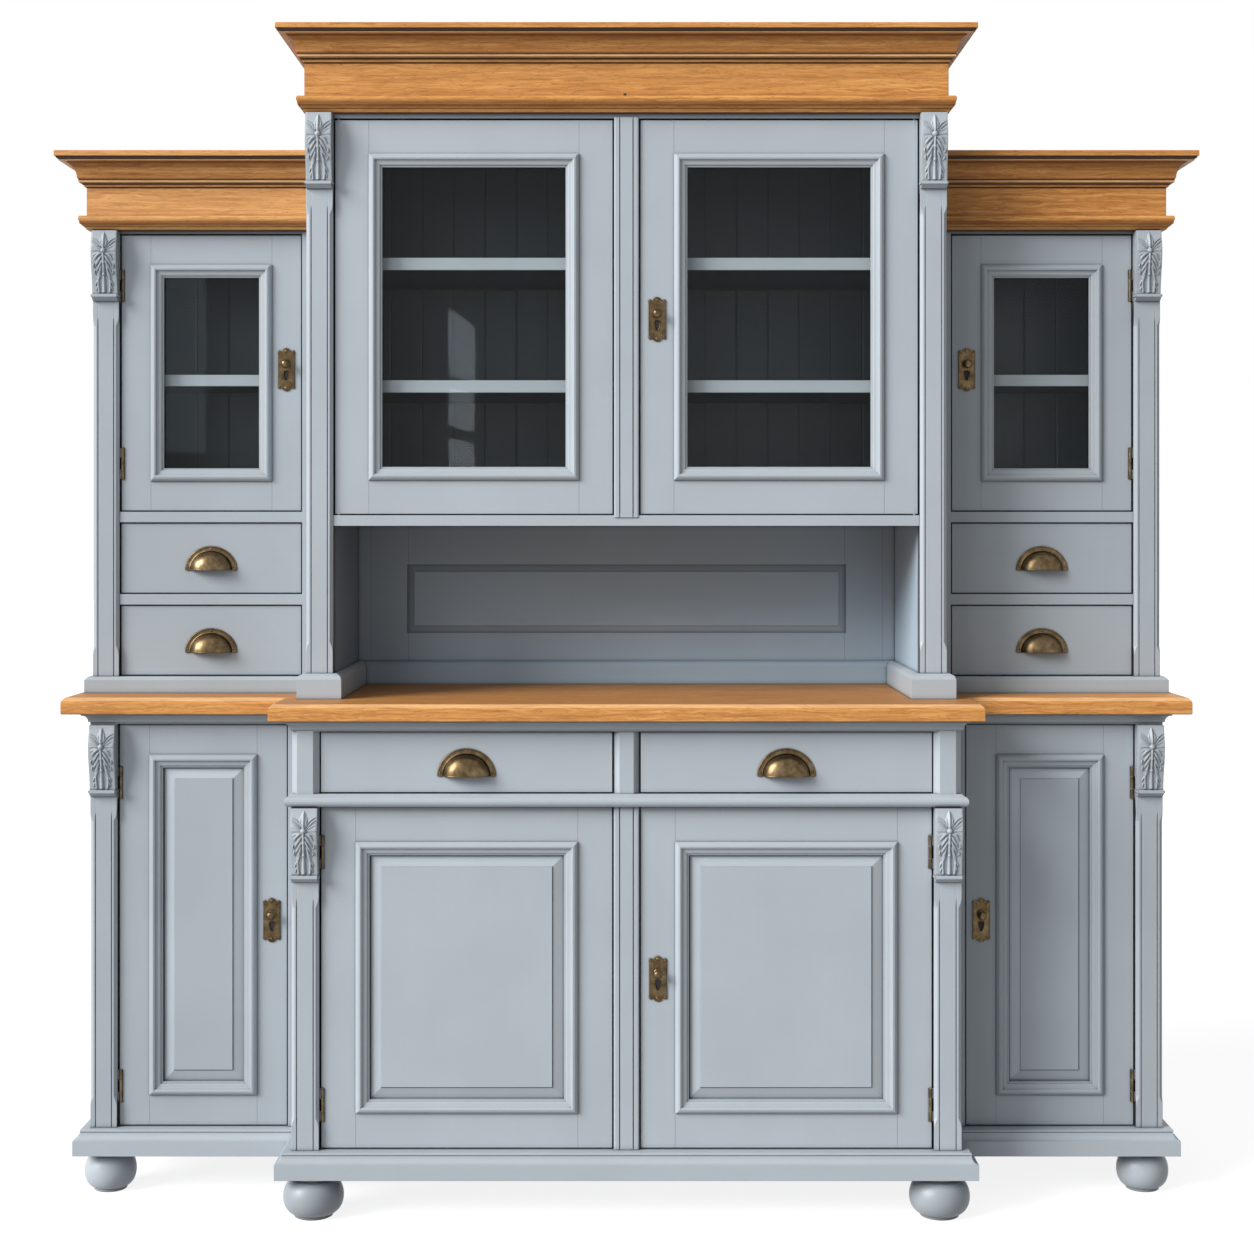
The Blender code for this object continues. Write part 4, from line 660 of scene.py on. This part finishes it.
def grid_mesh(name, grid, material, body=ROOT):
    """A smooth surface over rows and columns of points."""
    rows, columns = grid.shape[:2]
    index = np.arange(rows * columns).reshape(rows, columns)
    faces = np.stack((index[:-1, :-1], index[:-1, 1:], index[1:, 1:], index[1:, :-1]), axis=-1).reshape(-1, 4)
    mesh = bpy.data.meshes.new(name)
    mesh.from_pydata(grid.reshape(-1, 3).tolist(), [], faces.tolist())
    mesh.materials.append(material)
    mesh.shade_smooth()
    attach(added(name, mesh), body)


def prism(outline, low, high):
    """Vertices and faces of a flat outline of (x, y), extruded in height."""
    count = len(outline)
    verts = [(x, y, low) for x, y in outline] + [(x, y, high) for x, y in outline]
    faces = [(i, (i + 1) % count, count + (i + 1) % count, count + i) for i in range(count)]
    faces.append(tuple(reversed(range(count))))
    faces.append(tuple(range(count, 2 * count)))
    return verts, faces


def board(x, y, z):
    """Vertices and faces of a plain board between pairs of coordinates."""
    outline = [(min(x), min(y)), (max(x), min(y)), (max(x), max(y)), (min(x), max(y))]
    return prism(outline, min(z), max(z))


# Carved corbels, in millimetres: across from the middle, and down from the top edge

CARVING_HEIGHT = 116.6
CARVING_GRID = 0.00068


def ridge(relief, across, down, points, widths, height, sharp=0.0, vein=0.0):
    """Raises a ridge along a bent line, as wide as widths say: rounded or sharp, with a vein along it."""
    line = bend([(*point, width) for point, width in zip(points, widths)])
    widest = max(widths)
    for (x0, y0, w0), (x1, y1, w1) in zip(line, line[1:]):
        dx = x1 - x0
        dy = y1 - y0
        t = np.clip(((across - x0) * dx + (down - y0) * dy) / (dx * dx + dy * dy), 0, 1)
        away = np.hypot(across - x0 - t * dx, down - y0 - t * dy)
        width = w0 + t * (w1 - w0)
        share = np.clip(1 - away / width, 0, 1)
        shape = sharp * share + (1 - sharp) * np.sqrt(np.clip(1 - (1 - share) ** 2, 0, 1))
        rise = height * shape * (width / widest) ** 0.6 - vein * np.exp(-((away / 0.5) ** 2)) * (share > 0)
        np.maximum(relief, rise, out=relief)


LEAVES = (
    # points, half widths, height, vein
    (((-3.5, 43), (-11, 47), (-17.5, 57)), (1.4, 2.7, 0.5), 3.4, 1.3),
    (((-3.5, 48), (-8.5, 56), (-16.5, 69)), (1.4, 2.6, 0.5), 3.6, 1.3),
    (((-3.5, 56), (-7.5, 66), (-15.5, 79)), (1.4, 2.6, 0.5), 3.6, 1.3),
    (((-4.5, 66), (-7.5, 77), (-13.5, 89)), (1.4, 2.5, 0.5), 3.6, 1.3),
    (((-6.0, 78), (-9.5, 88), (-13.0, 98)), (1.2, 2.2, 0.5), 3.2, 1.0),
    (((-9.0, 82), (-11.0, 96), (-9.5, 116)), (1.0, 2.1, 2.1), 3.4, 0.9),
    (((-11.5, 92), (-14.5, 97), (-15.8, 103)), (0.9, 1.5, 0.4), 2.6, 0.0),
    (((-11.0, 101), (-13.6, 105), (-14.8, 112)), (0.9, 1.5, 0.4), 2.6, 0.0),
    (((-16.8, 62), (-18.6, 66), (-16.0, 70)), (0.5, 1.5, 0.5), 3.0, 0.0),
    (((-15.6, 74), (-17.0, 78), (-14.6, 82)), (0.5, 1.4, 0.5), 2.8, 0.0),
    # rays of the rosette, each a pair of fine lines round a leaf
    (((-4.5, 33), (-10, 22), (-20.5, 15)), (0.7, 0.95, 0.5), 2.3, 0.0),
    (((-5.0, 35), (-13, 26), (-21.0, 20)), (0.7, 0.95, 0.5), 2.3, 0.0),
    (((-5.5, 36.5), (-13, 31), (-21.3, 27.5)), (0.6, 1.7, 0.5), 1.7, 0.8),
    (((-5.5, 38.5), (-13, 38), (-21.3, 38.5)), (0.6, 0.8, 0.5), 1.7, 0.0),
    (((-5.5, 40.5), (-12, 43), (-20.5, 47.5)), (0.6, 1.5, 0.5), 1.9, 0.7),
    (((-2.8, 31), (-5.2, 22), (-4.0, 13)), (0.9, 1.9, 0.4), 2.5, 0.0),
)


def corbel_relief(across, down, mirror):
    relief = np.zeros_like(across)
    across = -across if mirror else across
    for points, widths, height, vein in LEAVES:
        for side in (1, -1):
            turned = [(side * x, y) for x, y in points]
            ridge(relief, across, down, turned, widths, height, sharp=0.45, vein=vein)
    ridge(relief, across, down, ((0, 3.5), (0, 17), (0, 33)), (0.4, 5.0, 2.6), 5.0, sharp=0.9)
    ridge(relief, across, down, ((-0.4, 42), (0.2, 58), (-0.3, 80)), (2.2, 2.8, 2.4), 3.4, sharp=0.3)
    ridge(relief, across, down, ((-0.3, 84), (-0.6, 100), (-0.8, 117)), (2.4, 3.6, 4.2), 4.0, sharp=0.5)
    for x, y, radius, height in ((0, 38, 5.2, 5.2), (-0.2, 81.5, 3.4, 4.4), (0, 60, 3.1, 4.0)):
        away = np.hypot(across - x, down - y) / radius
        np.maximum(relief, height * np.sqrt(np.clip(1 - away**2, 0, 1)), out=relief)
    groove = 1.5 * np.exp(-(((across - 4.6) / 1.2) ** 2)) * np.clip((down - 62) / 10, 0, 1)
    return np.clip(relief, 0, None) - groove


def corbel_out(share):
    """The corbel's side profile, as in the CAD."""
    swell = np.sin(math.pi * np.minimum(share / 0.68, 1.0) / 2) ** 2
    fall = np.clip((share - 0.68) / 0.32, 0, 1)
    return 0.0085 + 0.0120 * swell - 0.0070 * fall * fall * (3 - 2 * fall)


def corbel_carving(name, centre, face, low, height, mirror, shaded_material):
    """Leaves, a bud and beads over the CAD's swelling corbel. Its edges dip just under the CAD's face."""
    start = low + 0.0124
    top = low + height
    rise = top - start
    half = 0.0229
    columns = np.linspace(-half, half, 68)
    rows = np.linspace(0.0, rise, int(rise / CARVING_GRID))
    across, down = np.meshgrid(columns, rows)
    relief = corbel_relief(across * 1000, down * 1000 * CARVING_HEIGHT / (rise * 1000), mirror) / 1000
    edge = np.minimum(half - np.abs(across), np.minimum(down, rise - down))
    ground = np.where(edge > 0.0011, 0.00022, -0.0004)
    fade = np.clip((edge - 0.0008) / 0.0012, 0, 1)
    out = corbel_out(1 - down / rise) + ground + relief * fade
    grid = np.stack((centre + across, face - out, top - down), axis=-1)
    grid_mesh(name, grid, shaded_material)


CORBELS = (
    ("base_centre", 0.560, -0.2175, 0.5887, 0.129),
    ("base_wing", 0.946, -0.0775, 0.7197, 0.129),
    ("upper_centre", 0.5485, -0.1255, 1.8108, 0.134),
    ("upper_wing", 0.963, 0.0075, 1.6242, 0.129),
)
for stem, x, face, low, height in CORBELS:
    for side, word in SIDES:
        # The wings' carvings take the wings' painted shade
        shaded_material = SHADED_WING_PAINT if stem.endswith("wing") else PAINT
        corbel_carving(f"{stem}_{word}_carving", side * x, face, low, height, side > 0, shaded_material)


# Tongue-and-groove lining of the glazed cupboards


def lining(name, x, z):
    low, high = sorted(x)
    front = 0.2373
    back = 0.2392
    deep = 0.0008
    count = round((high - low) / 0.062)
    pitch = (high - low) / count
    outline = [(high, back), (low, back)]
    for number in range(count):
        left = low + number * pitch
        outline += [(left, front + deep), (left + 0.0022, front), (left + pitch - 0.0022, front)]
    outline.append((high, front + deep))
    verts, faces = prism(outline, z[0], z[1])
    # Painted shade: the lining takes the dark inside paint
    mesh_piece(name, verts, faces, INSIDE_SHADE, smooth=False)


CENTRE_ROOMS = ((1.2280, 1.4485), (1.4715, 1.6695), (1.6925, 1.9278))
for room, z in zip(("low", "middle", "high"), CENTRE_ROOMS):
    lining(f"upper_centre_{room}_lining", (-0.5238, 0.5238), z)
for side, word in SIDES:
    for room, z in zip(("low", "high"), ((1.2350, WING_SHELF[0]), (WING_SHELF[1], 1.7362))):
        lining(f"upper_{word}_{room}_lining", (side * 0.5914, side * 0.9684), z)


# Small beads with a painted highlight, and painted shadow as dark quirks, along the cornices


def cornice_plan(word, out):
    """The line of a cornice's face, from one end at the wall to the other."""
    wall = 0.2473
    if word == "centre":
        x = 0.5725 + out
        y = -0.1255 - out
        return [(-x, wall), (-x, y), (x, y), (x, wall)]
    side = -1 if word == "left" else 1
    x = side * (0.9870 + out)
    y = 0.0075 - out
    return [(side * 0.5730, y), (x, y), (x, wall)]


def band(word, out, low, high, deep=0.0022):
    """A strip that runs along a cornice's face."""
    outline = cornice_plan(word, out) + cornice_plan(word, out - deep)[::-1]
    return prism(outline, low, high)


for word, low, heights, top_out, base_out in CORNICES:
    reach = top_out - base_out
    under = low + sum(heights[:5])
    beads = heights[3]
    frieze_top = low + sum(heights[:3])
    light = [band(word, base_out + 0.86 * reach, under - 0.0068, under - 0.0046, 0.0110)]
    light.append(band(word, base_out + 0.255 * reach, frieze_top + 0.52 * beads, frieze_top + 0.74 * beads))
    dark = [band(word, base_out + 0.264 * reach, frieze_top + 0.78 * beads, frieze_top + 0.91 * beads)]
    dark.append(band(word, base_out + 0.125 * reach, frieze_top + 0.27 * beads, frieze_top + 0.41 * beads))
    dark.append(band(word, base_out + 0.0002, frieze_top - 0.0016, frieze_top - 0.0001))
    dressed(f"cornice_{word}_beads", light, OAK_HIGHLIGHT, "oak", smooth=False)
    dressed(f"cornice_{word}_quirk_shadows", dark, OAK_SHADOW_LINE, "oak", smooth=False)


# Cup pulls


def screw_head(centre, radius):
    """A small round screw head that faces the front."""
    profile = [(radius, 0.0), (radius, 0.0004), (0.86 * radius, 0.0009)]
    profile += [(0.5 * radius, 0.0013), (0.0001, 0.0014)]
    return lathe(profile, 12, centre, axis="Y")


def cup_pull(node):
    """A half-round cup on a rimmed plate, with a lip, a bead, feet and screws, in the CAD pull's box."""
    low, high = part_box(node)
    centre = (low[0] + high[0]) / 2
    half = (high[0] - low[0]) / 2
    height = high[2] - low[2]
    back = high[1]
    deep = back - low[1]
    flange = 0.0098
    plate = 0.0009
    outer = [(0.0, 0.0), (0.0, 0.0012), (0.0005, 0.0019), (0.0013, 0.0022), (0.0021, 0.0019)]
    outer += [(0.0026, 0.0014), (0.0072, 0.0014), (0.0080, 0.0020), (0.0088, 0.0021), (0.0094, 0.0014)]
    outer.append((flange, plate))
    rings = [(half - inset, height - inset, rise) for inset, rise in outer]
    cup_x = half - flange
    cup_z = height - flange
    steps = 12
    wall = 0.0016
    bowl = []
    for step in range(steps + 1):
        angle = math.radians(90 * step / steps)
        bowl.append((max(math.cos(angle), 0.0) ** 0.92, math.sin(angle) ** 0.95))
    for shrink, rise in bowl[1:]:
        rings.append((cup_x * shrink, cup_z * shrink, plate + (deep - plate) * rise))
    for shrink, rise in reversed(bowl):
        rings.append(((cup_x - wall) * shrink, (cup_z - wall) * shrink, (deep - wall) * rise))
    turns = 40
    verts = []
    for a, b, rise in rings:
        for turn in range(turns + 1):
            angle = math.pi * turn / turns
            verts.append((centre + a * math.cos(angle), back - rise, low[2] + b * math.sin(angle)))
    across = turns + 1
    count = len(rings)
    faces = []
    for row in range(count):
        after = (row + 1) % count
        for turn in range(turns):
            first = row * across + turn
            second = after * across + turn
            faces.append((first, first + 1, second + 1, second))
    # the cut ends, between the cup's outer and inner rings
    pairs = [(i, count - 1 - i + len(outer) - 1) for i in range(len(outer) - 1, len(outer) + steps)]
    for turn in (0, turns):
        faces.append([i * across + turn for i in range(len(outer))] + [(count - 1) * across + turn])
        for (i, j), (k, m) in zip(pairs, pairs[1:]):
            faces.append((i * across + turn, k * across + turn, m * across + turn, j * across + turn))
    lip = []
    for turn in range(turns + 1):
        angle = math.pi * turn / turns
        a = (cup_x - 0.0004) * math.cos(angle)
        b = plate + (deep - 0.0012) * math.sin(angle) ** 0.95
        lip.append((centre + a, back - b, low[2] + 0.0011))
    groups = [(verts, faces), tube(lip, 0.0011)]
    bead = [(x, y + 0.0006, z + 0.0038) for x, y, z in lip[2:-2]]
    groups.append(tube(bead, 0.0005))
    screw = 0.0020
    groups.append(screw_head((centre, back - 0.0013, high[2] - 0.0046), screw))
    for side in (-1, 1):
        groups.append(screw_head((centre + side * (half - 0.0052), back - 0.0013, low[2] + 0.0060), screw))
        foot = [(0.0050, 0.0), (0.0050, 0.0012), (0.0042, 0.0017), (0.0001, 0.0018)]
        groups.append(lathe(foot, 18, (centre + side * (half - 0.0050), back, low[2] + 0.0036), axis="Y"))
    return groups


PULLS = [f"base_{word}_drawer" for word in ("left", "right")]
PULLS += [f"upper_{word}_{level}_drawer" for word in ("left", "right") for level in ("lower", "upper")]
for stem in PULLS:
    node = stem + "_pull"
    dressed(stem + "_cup_pull", cup_pull(node), BRASS, "brass", node, body="slide_" + stem, angle=50)


# Escutcheons, in millimetres from the middle of the plate

CREST = (
    (0.0, 40.0), (2.6, 39.6), (5.0, 38.3), (6.9, 36.3), (8.1, 34.5), (9.3, 33.9), (10.6, 35.0), (12.2, 36.0),
    (14.0, 35.7), (15.4, 34.3), (16.0, 32.2), (15.7, 30.0), (15.2, 27.8), (15.2, 24.0),
)
HOLE = ((0.0, -1.0), (4.4, -2.0), (5.2, -4.5), (4.9, -8.0), (3.6, -13.5), (2.6, -17.6), (1.4, -19.4))


def plate_mesh(outline, hole, thick, bevel):
    """A flat plate with a hole and bevelled edges, through a filled curve. It lies in X and Y."""
    data = bpy.data.curves.new("plate", "CURVE")
    data.dimensions = "2D"
    data.fill_mode = "BOTH"
    data.extrude = thick / 2 - bevel
    data.bevel_depth = bevel
    data.bevel_resolution = 2
    data.offset = -bevel
    for points in (outline, hole):
        spline = data.splines.new("POLY")
        spline.points.add(len(points) - 1)
        for target, (x, y) in zip(spline.points, points):
            target.co = (x / 1000, y / 1000, 0.0, 1.0)
        spline.use_cyclic_u = True
    obj = added("plate", data)
    bpy.context.view_layer.update()
    mesh = bpy.data.meshes.new_from_object(obj.evaluated_get(bpy.context.evaluated_depsgraph_get()))
    bpy.data.objects.remove(obj, do_unlink=True)
    return [tuple(vert.co) for vert in mesh.vertices], [tuple(face.vertices) for face in mesh.polygons]


def escutcheon(node, body):
    """A pierced plate with a rim round the keyhole, side beads, curls and a turned knob."""
    low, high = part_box(node)
    centre = (low[0] + high[0]) / 2
    middle = (low[2] + high[2]) / 2
    back = high[1]
    deep = back - low[1]
    right = list(CREST) + [(x, -y) for x, y in reversed(CREST)]
    outline = right + [(-x, y) for x, y in reversed(right)][1:-1]
    hole = list(HOLE) + [(-x, y) for x, y in reversed(HOLE[1:])]
    thick = 0.0017
    front = back - thick
    seat = front + 0.0002
    wire = 0.0005
    verts, faces = plate_mesh(outline, hole, thick, 0.0005)
    groups = [([(centre + x, back - thick / 2 - z, middle + y) for x, y, z in verts], faces)]
    rim = [(centre + x * 1.10 / 1000, front, middle + (y - 0.4) / 1000) for x, y in hole]
    groups.append(tube(rim, 0.0006, closed=True))
    curl = [(0.0018, 0.0), (0.0017, 0.0006), (0.0011, 0.0011), (0.0001, 0.0013)]
    for side in (-1, 1):
        line = [(centre + side * 0.0146, front, middle + z) for z in (-0.0285, 0.0, 0.0285)]
        groups.append(tube(line, wire))
        for end in (-1, 1):
            spot = (centre + side * 0.0128, seat, middle + end * 0.0322)
            groups.append(lathe(curl, 12, spot, axis="Y"))
            spot = (centre + side * 0.0088, seat, middle + end * 0.0296)
            groups.append(lathe(curl, 10, spot, axis="Y", scale=0.8))
    shell = [(0.0034, 0.0), (0.0032, 0.0005), (0.0020, 0.0011), (0.0001, 0.0013)]
    for end in (-1, 1):
        groups.append(lathe(shell, 16, (centre, seat, middle + end * 0.0345), axis="Y"))
        arch = []
        for step in range(9):
            angle = math.radians(180 * step / 8)
            rise = end * (0.0330 + 0.0052 * math.sin(angle))
            arch.append((centre + 0.0056 * math.cos(angle), front, middle + rise))
        groups.append(tube(arch, wire))
    knob = [(7.6, 1.2), (7.6, 2.0), (6.6, 2.8), (4.2, 3.4), (3.3, 4.6), (3.3, 6.0), (4.6, 7.4), (6.6, 9.2)]
    knob += [(7.9, 11.4), (8.2, 13.2), (7.7, 15.2), (6.3, 17.0), (4.2, 18.3), (2.0, 18.9), (0.1, 19.0)]
    knob = [(radius / 1000, along / 1000 * deep / 0.019) for radius, along in knob]
    groups.append(lathe(knob, 28, (centre, back, middle + 0.010), axis="Y"))
    dressed(node.replace("escutcheon", "plate"), groups, BRASS_DARK, "brass", node, body=body, angle=50)
    # Painted shade in the keyhole: a black sheet behind the plate's hole
    dark = board((centre - 0.0062, centre + 0.0062), (back - 0.0001, back - 0.0003), (middle - 0.021, middle))
    dressed(node.replace("escutcheon", "keyhole"), [dark], BLACK, "brass", body=body, smooth=False)


for node in NODES:
    if node.endswith("_escutcheon"):
        escutcheon(node, "door_" + node.replace("_door_escutcheon", ""))


# Bun feet


def bun_foot(node):
    """A turned foot: a neck with a ring, a ball and a flat base, in shares of the CAD foot's size."""
    low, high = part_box(node)
    radius = (high[0] - low[0]) / 2
    height = high[2]
    shares = [(0.001 / radius, 1.0), (0.64, 1.0), (0.64, 0.885), (0.69, 0.875), (0.71, 0.855), (0.69, 0.835)]
    shares += [(0.665, 0.828), (0.675, 0.815)]
    above = 58
    below = 62
    for step in range(17):
        angle = math.radians(above - (above + below) * step / 16)
        up, end = (0.40, above) if angle > 0 else (0.385, below)
        shares.append((math.cos(angle) ** 0.50, 0.46 + up * math.sin(angle) / math.sin(math.radians(end))))
    shares += [(0.640, 0.070), (0.640, 0.012), (0.61, 0.0), (0.001 / radius, 0.0)]
    profile = [(across * radius, up * height) for across, up in shares]
    centre = ((low[0] + high[0]) / 2, (low[1] + high[1]) / 2, 0.0)
    # The centre feet take painted shade: a darker copy of the paint
    shaded_material = PAINT if node.startswith("wing") else FOOT_SHADE
    dressed(node.replace("foot", "bun_foot"), [lathe(profile, 56, centre)], shaded_material, "paint", node, angle=32)


for word in ("left", "right"):
    bun_foot(f"centre_{word}_foot")
    bun_foot(f"wing_{word}_foot")


# Hinge barrels: sleeves over the knuckles


def sleeve(x, y, low, high, ring_low, ring_high):
    """A sleeve over a knuckle, with a ring at an end where its share isn't 0."""
    radius = 0.00318
    ring = 0.0004
    profile = [(radius - 0.0006, low), (radius + ring * ring_low, low + 0.0005)]
    profile += [(radius + ring * ring_low, low + 0.0016), (radius, low + 0.0020), (radius, high - 0.0020)]
    profile += [(radius + ring * ring_high, high - 0.0016), (radius + ring * ring_high, high - 0.0005)]
    profile.append((radius - 0.0006, high))
    return lathe(profile, 14, (x, y, 0.0))


HINGES = (
    ("base_centre", 0.5308, -0.2085, (0.1685, 0.6100)),
    ("base", 0.9168, -0.0685, (0.1645, 0.7140)),
    ("upper", 0.9338, 0.0165, (1.2950, 1.6247)),
)
for stem, x, y, starts in HINGES:
    for side, word in SIDES:
        fixed = []
        moving = []
        for start in starts:
            fixed.append(sleeve(side * x, y, start + 0.0001, start + 0.0176, 1, 0))
            moving.append(sleeve(side * x, y, start + 0.0184, start + 0.0396, 0, 0))
            fixed.append(sleeve(side * x, y, start + 0.0404, start + 0.0579, 0, 1))
        for part, groups, body in (("fixed", fixed, ROOT), ("moving", moving, f"door_{stem}_{word}")):
            dressed(f"{stem}_{word}_{part}_hinge", groups, BRASS, "brass", body=body, angle=30)


# Fine lines where the doors' rails meet their stiles

LINE_HALF = 0.0003


def door_lines(stem, side, word):
    groups = []
    stile = STILE[stem]
    edges = sorted(side * x for x in DOOR_X[stem])
    front = (DOOR_FRONT[stem] - 0.00007, DOOR_FRONT[stem] + 0.0003)
    z0, z1 = DOOR_Z[stem]
    for x in (edges[0] + stile, edges[1] - stile):
        for z in ((z0 + 0.0008, z0 + stile - 0.001), (z1 - stile + 0.001, z1 - 0.0008)):
            groups.append(board((x - LINE_HALF, x + LINE_HALF), front, z))
    dressed(f"{stem}_{word}_door_lines", groups, LINE, "paint", body=f"door_{stem}_{word}", smooth=False)


for side, word in SIDES:
    for stem in ("base_centre", "base", "upper_centre", "upper"):
        door_lines(stem, side, word)


# Painted shadow: dark lines beside the raised panels, and on the middle posts between the doors


def edge_lines(stem, side, word, kind, inset, deep, width, material):
    """Thin dark strips inside a door, painted shadow: in the groove to the left and above, or beside the
    field to the right and below.
    """
    low_x, high_x = sorted(side * x for x in DOOR_X[stem])
    x0, x1 = low_x + inset, high_x - inset
    z0, z1 = DOOR_Z[stem][0] + inset, DOOR_Z[stem][1] - inset
    depth = (DOOR_FRONT[stem] + deep, DOOR_FRONT[stem] + deep + 0.0010)
    if kind == "panel_groove":
        groups = [board((x0, x0 + width), depth, (z0, z1)), board((x0 + width, x1), depth, (z1 - width, z1))]
    else:
        groups = [board((x1 - width, x1), depth, (z0, z1)), board((x0, x1 - width), depth, (z0, z0 + width))]
    dressed(f"{stem}_{word}_{kind}", groups, material, "paint", body=f"door_{stem}_{word}", smooth=False)


MOULDING_WIDTH = 0.024
PANEL_BEVEL = 0.0211
for stem in ("base_centre", "base"):
    panel = STILE[stem] + MOULDING_WIDTH
    field = panel + PANEL_BEVEL
    for side, word in SIDES:
        edge_lines(stem, side, word, "panel_groove", panel - 0.0002, 0.0061, 0.0019, GROOVE_SHADOW_LINE)
        edge_lines(stem, side, word, "field_shadow", field - 0.0016, 0.0031, 0.0016, SHADOW_LINE)
POST_GROOVE = 0.0119
for stem, front in (("base_centre", -0.2135), ("upper_centre", -0.1215)):
    low, high = DOOR_Z[stem]
    depth = (front - 0.00006, front + 0.0003)
    groups = []
    for x in (-POST_GROOVE, POST_GROOVE):
        groups.append(board((x - 0.0006, x + 0.0006), depth, (low + 0.001, high - 0.001)))
    dressed(f"{stem}_post_lines", groups, GROOVE_SHADOW_LINE, "paint", smooth=False)


# Joint lines of the niche's back, and the plug in the frieze

groups = []
for x in (-0.4265, 0.4265, -0.5000, 0.5000):
    groups.append(board((x - LINE_HALF, x + LINE_HALF), (0.22743, 0.2278), (0.9175, 1.2070)))
dressed("niche_joint_lines", groups, LINE, "paint", smooth=False)
PLUG = ((0.0032, 0.0), (0.0032, 0.0002), (0.0028, 0.0005), (0.0001, 0.0006))
dressed("frieze_plug", [lathe(PLUG, 16, (-0.0027, -0.1278, 1.9774), axis="Y")], BLACK, "oak")


# Lights, floor and camera


def lamp(kind, name, location, target, power, colour, **settings):
    data = bpy.data.lights.new(name, kind)
    data.energy = power
    data.color = colour
    for key, value in settings.items():
        setattr(data, key, value)
    light = added(name, data)
    light.location = location
    light.rotation_euler = (Vector(target) - light.location).to_track_quat("-Z", "Y").to_euler()
    return light


SUN_FROM = Vector((-0.76, -0.465, 0.455))
SUN_SPREAD = math.radians(30.0)
lamp("SUN", "key", SUN_FROM * 10, (0.0, 0.0, 0.0), 4.55, (1.0, 0.985, 0.96), angle=SUN_SPREAD)
FILL = {"shape": "RECTANGLE", "size": 2.2, "size_y": 2.2}
fill = lamp("AREA", "fill", (-2.5, -5.0, 3.2), (0.0, 0.0, 1.2), 58.0, (0.98, 0.99, 1.0), **FILL)
fill.visible_glossy = False
WINDOW_Y = -5.9


def window_card(name, strength, quads):
    """A bright window behind the camera that only shows in gloss. Quads are four (x, z) corners each."""
    tree = Tree(name)
    glow = tree.emission((0.80, 0.89, 1.0))
    glow.inputs["Strength"].default_value = strength
    tree.surface(glow.outputs[0])
    verts = [(x, WINDOW_Y, z) for quad in quads for x, z in quad]
    faces = [tuple(range(4 * i, 4 * i + 4)) for i in range(len(quads))]
    card = mesh_piece(name, verts, faces, tree.owner, body=None, smooth=False)
    for ray in ("camera", "diffuse", "transmission", "volume_scatter", "shadow"):
        setattr(card, "visible_" + ray, False)


LEFT_X = -0.813
RIGHT_X = -0.694
PANES = (
    ((LEFT_X, 1.475), (RIGHT_X, 1.475), (RIGHT_X, 1.580), (LEFT_X, 1.607)),
    ((LEFT_X, 1.663), (RIGHT_X, 1.636), (RIGHT_X, 1.812), (LEFT_X, 1.838)),
    ((LEFT_X, 1.893), (RIGHT_X, 1.865), (RIGHT_X, 2.115), (LEFT_X, 2.202)),
)
window_card("window_with_bars", 6.0, PANES)
window_card("window_edge", 2.5, (((-2.240, 1.55), (-1.975, 1.55), (-1.975, 2.40), (-2.240, 2.40)),))


def white_room():
    """A white room that gives the object weak, even light."""
    tree = Tree("studio", "worlds")
    background = tree.nodes["Background"]
    background.inputs["Color"].default_value = (1.0, 1.0, 1.0, 1.0)
    tree.link(tree.range(tree.seen(), 0.0, 1.0, 0.34, 1.0), background.inputs["Strength"])
    bpy.context.scene.world = tree.owner


def floor():
    """A pale floor that keeps the object's shadow."""
    tree = Tree("white_floor")
    diffuse = tree.node("ShaderNodeBsdfDiffuse")
    diffuse.inputs["Color"].default_value = (0.32, 0.32, 0.32, 1.0)
    glow = tree.emission((1.0, 1.0, 1.0))
    tree.link(tree.math("MULTIPLY", tree.seen(), 0.85), glow.inputs["Strength"])
    add = tree.node("ShaderNodeAddShader")
    tree.link(diffuse.outputs[0], add.inputs[0])
    tree.link(glow.outputs[0], add.inputs[1])
    tree.surface(add.outputs[0])
    size = 30.0
    verts = [(-size, -size, 0), (size, -size, 0), (size, size, 0), (-size, size, 0)]
    plane = mesh_piece("floor", verts, [(0, 1, 2, 3)], tree.owner, body=None, smooth=False)
    plane.location.z = -0.0002


white_room()
floor()

camera_data = bpy.data.cameras.new("photo_camera")
camera_data.sensor_width = 36.0
camera_data.lens = 59.83
camera_data.shift_x = 0.0004
camera_data.shift_y = -0.0813
camera_data.clip_end = 100.0
camera = added("photo_camera", camera_data)
camera.location = (0.0, -3.8475, 1.2099)
camera.rotation_euler = (math.radians(90), 0, 0)
bpy.context.scene.camera = camera
bpy.context.scene.view_settings.view_transform = "Standard"
